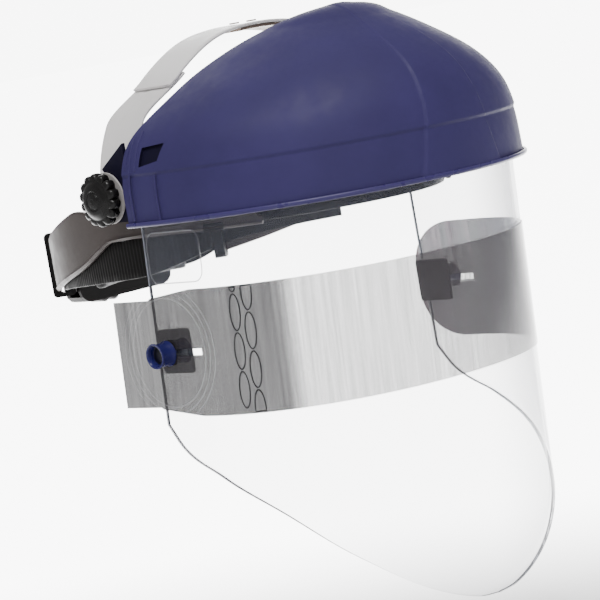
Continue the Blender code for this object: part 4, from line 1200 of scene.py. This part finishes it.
def make_keepers():
    """Loops round the straps, with soft edges and a slot that fits the strap."""
    turn = math.radians(KEEPER_TURN)
    x, forward = ring(turn, 4.0)
    for name, side in SIDES.items():
        low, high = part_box("strap_keeper_" + name)
        level = (low.z + high.z) / 2 / MM
        normal = np.array([math.sin(turn) / (RING_WIDE + 4.0), math.cos(turn) / (RING_LONG + 4.0)])
        normal /= np.linalg.norm(normal)
        way = np.array([-normal[1], normal[0]])
        outer = rounded_rectangle(-6.1, 6.1, -17.4, 17.4, 2.2, 6)
        inner = rounded_rectangle(-2.6, 2.0, -15.2, 15.2, 1.2, 6)
        rows = []
        for shape, along in ((outer, -3.0), (outer, 3.0), (inner, 3.4), (inner, -3.4)):
            across, up = shape
            px = x + normal[0] * across + way[0] * along
            pf = forward + normal[1] * across + way[1] * along
            rows.append(at(side * px, pf, level + up))
        faces = quads(4, len(rows[0]), round_rows=True, round_columns=True).tolist()
        made = settle(piece_from("strap_loop_" + name, np.array(rows), faces, FINISHES["black"]))
        keep(made, "headband", "black_nylon", "strap_keeper_" + name)


DRESSED = {
    # the pivot brackets take the same dark blue that paints shade into the pockets
    "pivot_bracket_right": "slot", "pivot_bracket_left": "slot", "window_retainer": "black",
    "window_peg_1": "black", "window_peg_2": "black", "window_peg_3": "black",
    "window_peg_4": "black", "window_peg_5": "black", "arm_rivet_right": "steel",
    "arm_rivet_left": "steel", "strap_pin_1": "tail", "strap_pin_2": "tail",
    "pivot_stud_right": "steel", "pivot_stud_left": "steel",
    "housing_front_cover": "black", "housing_rear_cover": "black", "detent_spring": "steel",
    "ratchet_pinion": "steel", "knob_screw": "steel", "strap_rack_right": "black",
    "strap_rack_left": "black",
}


def make_working_parts():
    """Finishes for the nodes that keep the shape of their solids."""
    for node, finish in DRESSED.items():
        dress(node, finish)


# ---------------------------------------------------------------- stage

def make_stage(look):
    """A wide pale floor, a bright even sky and soft lamps."""
    low, _ = CAD_BOX
    level = low.z - FLOOR_DROP
    corners = [(a * FLOOR_REACH, b * FLOOR_REACH, level)
               for a, b in ((-1, -1), (1, -1), (1, 1), (-1, 1))]
    floor = piece_from("floor", np.array(corners), [[0, 1, 2, 3]], FINISHES["floor"])
    world = bpy.data.worlds.new("studio")
    bpy.context.scene.world = world
    world.use_nodes = True
    nodes, links = world.node_tree.nodes, world.node_tree.links
    sky = nodes["Background"]
    sky.inputs["Color"].default_value = (1.0, 1.0, 1.0, 1.0)
    place = nodes.new("ShaderNodeTexCoord").outputs["Generated"]
    glow = far_glow(nodes, links, place, look.sky_strength, look.backdrop_strength,
                    *SKY_WEDGE)
    links.new(glow, sky.inputs["Strength"])
    make_floor_glow(look)
    lamps = (("key", (-1.1, -1.2, 2.6), look.key_power, 1.2),
             ("fill", (-1.2, -2.2, 0.5), look.key_power * 0.05, 1.6),
             ("back", (0.9, 1.6, 1.4), look.key_power * 0.1, 1.0))
    target = Vector((0.0, -0.03, 0.0))
    for name, place, power, size in lamps:
        lamp = bpy.data.lights.new(name, 'AREA')
        lamp.energy = power
        lamp.size = size
        made = bpy.data.objects.new(name + "_lamp", lamp)
        made.location = place
        made.rotation_euler = (target - Vector(place)).to_track_quat('-Z', 'Y').to_euler()
        bpy.context.scene.collection.objects.link(made)


def far_glow(nodes, links, place, near, far, start, end):
    """A strength that climbs from near to far as a direction turns towards the backdrop."""
    heading = math.radians(CAMERA_HEADING)
    dot = nodes.new("ShaderNodeVectorMath")
    dot.operation = 'DOT_PRODUCT'
    links.new(place, dot.inputs[0])
    dot.inputs[1].default_value = (math.sin(heading), math.cos(heading), 0.0)
    return smooth_range(nodes, links, dot.outputs["Value"], start, end, near, far)


def smooth_range(nodes, links, source, start, end, low, high):
    """A smooth step from low to high as a value climbs from start to end."""
    spread = nodes.new("ShaderNodeMapRange")
    spread.interpolation_type = 'SMOOTHSTEP'
    for socket, value in (("From Min", start), ("From Max", end), ("To Min", low),
                          ("To Max", high)):
        spread.inputs[socket].default_value = value
    links.new(source, spread.inputs["Value"])
    return spread.outputs["Result"]


def make_floor_glow(look):
    """Light the floor from beneath behind the object, like a white sweep."""
    tree = FINISHES["floor"].node_tree
    shader = tree.nodes["Principled BSDF"]
    place = tree.nodes.new("ShaderNodeTexCoord").outputs["Object"]
    away = tree.nodes.new("ShaderNodeVectorMath")
    away.operation = 'SUBTRACT'
    away.inputs[1].default_value = (CAMERA_PLACE[0], CAMERA_PLACE[1], CAD_BOX[0].z - FLOOR_DROP)
    tree.links.new(place, away.inputs[0])
    way = tree.nodes.new("ShaderNodeVectorMath")
    way.operation = 'NORMALIZE'
    tree.links.new(away.outputs["Vector"], way.inputs[0])
    place = way.outputs["Vector"]
    shader.inputs["Emission Color"].default_value = (1.0, 1.0, 1.0, 1.0)
    glow = far_glow(tree.nodes, tree.links, place, 0.0, look.backdrop_strength, *FLOOR_WEDGE)
    reach = tree.nodes.new("ShaderNodeVectorMath")
    reach.operation = 'LENGTH'
    tree.links.new(away.outputs["Vector"], reach.inputs[0])
    fade = smooth_range(tree.nodes, tree.links, reach.outputs["Value"], *FLOOR_FADE, 0.0, 1.0)
    both = tree.nodes.new("ShaderNodeMath")
    both.operation = 'MULTIPLY'
    tree.links.new(glow, both.inputs[0])
    tree.links.new(fade, both.inputs[1])
    tree.links.new(both.outputs[0], shader.inputs["Emission Strength"])


def make_camera():
    """The camera: its view from heading and pitch, then turned about it by the roll."""
    heading, pitch, roll = (math.radians(a) for a in (CAMERA_HEADING, CAMERA_PITCH, CAMERA_ROLL))
    view = Vector((math.sin(heading) * math.cos(pitch), math.cos(heading) * math.cos(pitch),
                   math.sin(pitch)))
    level = view.cross(Vector((0, 0, 1))).normalized()
    upright = level.cross(view)
    right = level * math.cos(roll) + upright * math.sin(roll)
    up = right.cross(view)
    data = bpy.data.cameras.new("camera")
    data.lens, data.sensor_width = CAMERA_LENS, 36.0
    data.clip_start, data.clip_end = 0.05, 100.0
    made = bpy.data.objects.new("camera", data)
    turn = Matrix((right, up, -view)).transposed().to_4x4()
    made.matrix_world = Matrix.Translation(CAMERA_PLACE) @ turn
    bpy.context.scene.collection.objects.link(made)
    bpy.context.scene.camera = made


# ---------------------------------------------------------------- the add-on

class ShieldLook(bpy.types.PropertyGroup):
    """Colours, sizes and light that a user may change."""

    crown_colour: bpy.props.FloatVectorProperty(
        name="Crown", description="Colour of the crown's plastic", subtype='COLOR', size=3,
        min=0.0, max=1.0, default=(0.036, 0.029, 0.105))
    black_colour: bpy.props.FloatVectorProperty(
        name="Black plastic", description="Colour of the knobs, bands and housing",
        subtype='COLOR', size=3, min=0.0, max=1.0, default=(0.006, 0.0055, 0.0055))
    arm_colour: bpy.props.FloatVectorProperty(
        name="Arms", description="Colour of the side arms", subtype='COLOR', size=3,
        min=0.0, max=1.0, default=(0.058, 0.047, 0.044))
    strap_colour: bpy.props.FloatVectorProperty(
        name="Crown strap", description="Colour of the crown strap", subtype='COLOR', size=3,
        min=0.0, max=1.0, default=(0.80, 0.78, 0.77))
    rib_pitch: bpy.props.FloatProperty(
        name="Rib pitch", description="Distance between the ribs of the rear straps",
        subtype='DISTANCE', unit='LENGTH', min=0.001, default=0.0024)
    rib_height: bpy.props.FloatProperty(
        name="Rib height", description="How far the ribs of the rear straps stand proud",
        subtype='DISTANCE', unit='LENGTH', min=0.0, default=0.00022)
    grip_depth: bpy.props.FloatProperty(
        name="Grip depth", description="Depth of the grips round the tilt knobs",
        subtype='DISTANCE', unit='LENGTH', min=0.0, default=0.0019)
    lip_width: bpy.props.FloatProperty(
        name="Lip", description="Half width of the rolled lip round the crown's rim",
        subtype='DISTANCE', unit='LENGTH', min=0.0, default=0.0013)
    sky_strength: bpy.props.FloatProperty(
        name="Sky", description="Strength of the even light all round", min=0.0, default=0.42)
    backdrop_strength: bpy.props.FloatProperty(
        name="Backdrop", description="Strength of the white light behind the object",
        min=1.0, default=8.0)
    key_power: bpy.props.FloatProperty(
        name="Key lamp", description="Power of the main lamp", subtype='POWER', min=0.0,
        default=85.0)


def look_of(context):
    """The scene's colours, sizes and light."""
    return context.scene.shield_look


class MakeFinishes(bpy.types.Operator):
    """Make the materials of the face shield"""

    bl_idname = "shield.finishes"
    bl_label = "Finishes"

    def execute(self, context):
        make_finishes(look_of(context))
        return {'FINISHED'}


class MakeCrown(bpy.types.Operator):
    """Make the crown's shell, lip and ribs"""

    bl_idname = "shield.crown"
    bl_label = "Crown"

    def execute(self, context):
        make_crown()
        make_crown_trim(look_of(context))
        return {'FINISHED'}


class MakeWindow(bpy.types.Operator):
    """Make the clear window and its blank raised frame"""

    bl_idname = "shield.window"
    bl_label = "Window"

    def execute(self, context):
        make_window()
        make_emboss()
        return {'FINISHED'}


class MakeFilm(bpy.types.Operator):
    """Make the tinted film, its printed ovals, its pads and its buttons"""

    bl_idname = "shield.film"
    bl_label = "Film"

    def execute(self, context):
        make_film()
        make_film_marks()
        make_pads()
        make_buttons()
        return {'FINISHED'}


class MakeHubs(bpy.types.Operator):
    """Make the tilt knobs and washers"""

    bl_idname = "shield.hubs"
    bl_label = "Hubs"

    def execute(self, context):
        make_tilt_knobs(look_of(context))
        make_washers()
        return {'FINISHED'}


class MakeHeadband(bpy.types.Operator):
    """Make the brow band, arms, rear straps and ratchet knob"""

    bl_idname = "shield.headband"
    bl_label = "Headband"

    def execute(self, context):
        make_brow()
        make_arms()
        make_arm_notches()
        make_rear_straps(look_of(context))
        make_keepers()
        make_nape_knob()
        return {'FINISHED'}


class MakeCrownStrap(bpy.types.Operator):
    """Make the strap over the head"""

    bl_idname = "shield.crown_strap"
    bl_label = "Crown strap"

    def execute(self, context):
        make_crown_strap()
        return {'FINISHED'}


class MakeFoam(bpy.types.Operator):
    """Make the sweatband and the nape pad"""

    bl_idname = "shield.foam"
    bl_label = "Foam"

    def execute(self, context):
        make_foam()
        return {'FINISHED'}


class DressWorkingParts(bpy.types.Operator):
    """Give the working parts that keep their shape their finishes"""

    bl_idname = "shield.working_parts"
    bl_label = "Working parts"

    def execute(self, context):
        make_working_parts()
        return {'FINISHED'}


class MakeStage(bpy.types.Operator):
    """Make the floor, the light and the camera"""

    bl_idname = "shield.stage"
    bl_label = "Stage"

    def execute(self, context):
        make_camera()
        make_stage(look_of(context))
        return {'FINISHED'}


OPERATORS = (MakeFinishes, MakeStage, MakeCrown, MakeWindow, MakeFilm, MakeHubs, MakeHeadband,
             MakeCrownStrap, MakeFoam, DressWorkingParts)


class ShieldPanel(bpy.types.Panel):
    """Lists the steps that build the face shield's looks"""

    bl_idname = "VIEW3D_PT_shield"
    bl_label = "Face Shield"
    bl_space_type = 'VIEW_3D'
    bl_region_type = 'UI'
    bl_category = "Face Shield"

    def draw(self, context):
        look = look_of(context)
        for name in ShieldLook.__annotations__:
            self.layout.prop(look, name)
        for operator in OPERATORS:
            self.layout.operator(operator.bl_idname)


def register():
    """Register the settings, the operators and the panel."""
    bpy.utils.register_class(ShieldLook)
    bpy.types.Scene.shield_look = bpy.props.PointerProperty(type=ShieldLook)
    for operator in OPERATORS:
        bpy.utils.register_class(operator)
    bpy.utils.register_class(ShieldPanel)


def unregister():
    """Take the same classes out again, in the other order."""
    bpy.utils.unregister_class(ShieldPanel)
    for operator in reversed(OPERATORS):
        bpy.utils.unregister_class(operator)
    del bpy.types.Scene.shield_look
    bpy.utils.unregister_class(ShieldLook)


def main():
    """Run every operator in order."""
    register()
    bpy.ops.shield.finishes()
    bpy.ops.shield.stage()
    bpy.ops.shield.crown()
    bpy.ops.shield.window()
    bpy.ops.shield.film()
    bpy.ops.shield.hubs()
    bpy.ops.shield.headband()
    bpy.ops.shield.crown_strap()
    bpy.ops.shield.foam()
    bpy.ops.shield.working_parts()


if __name__ == "__main__":
    main()
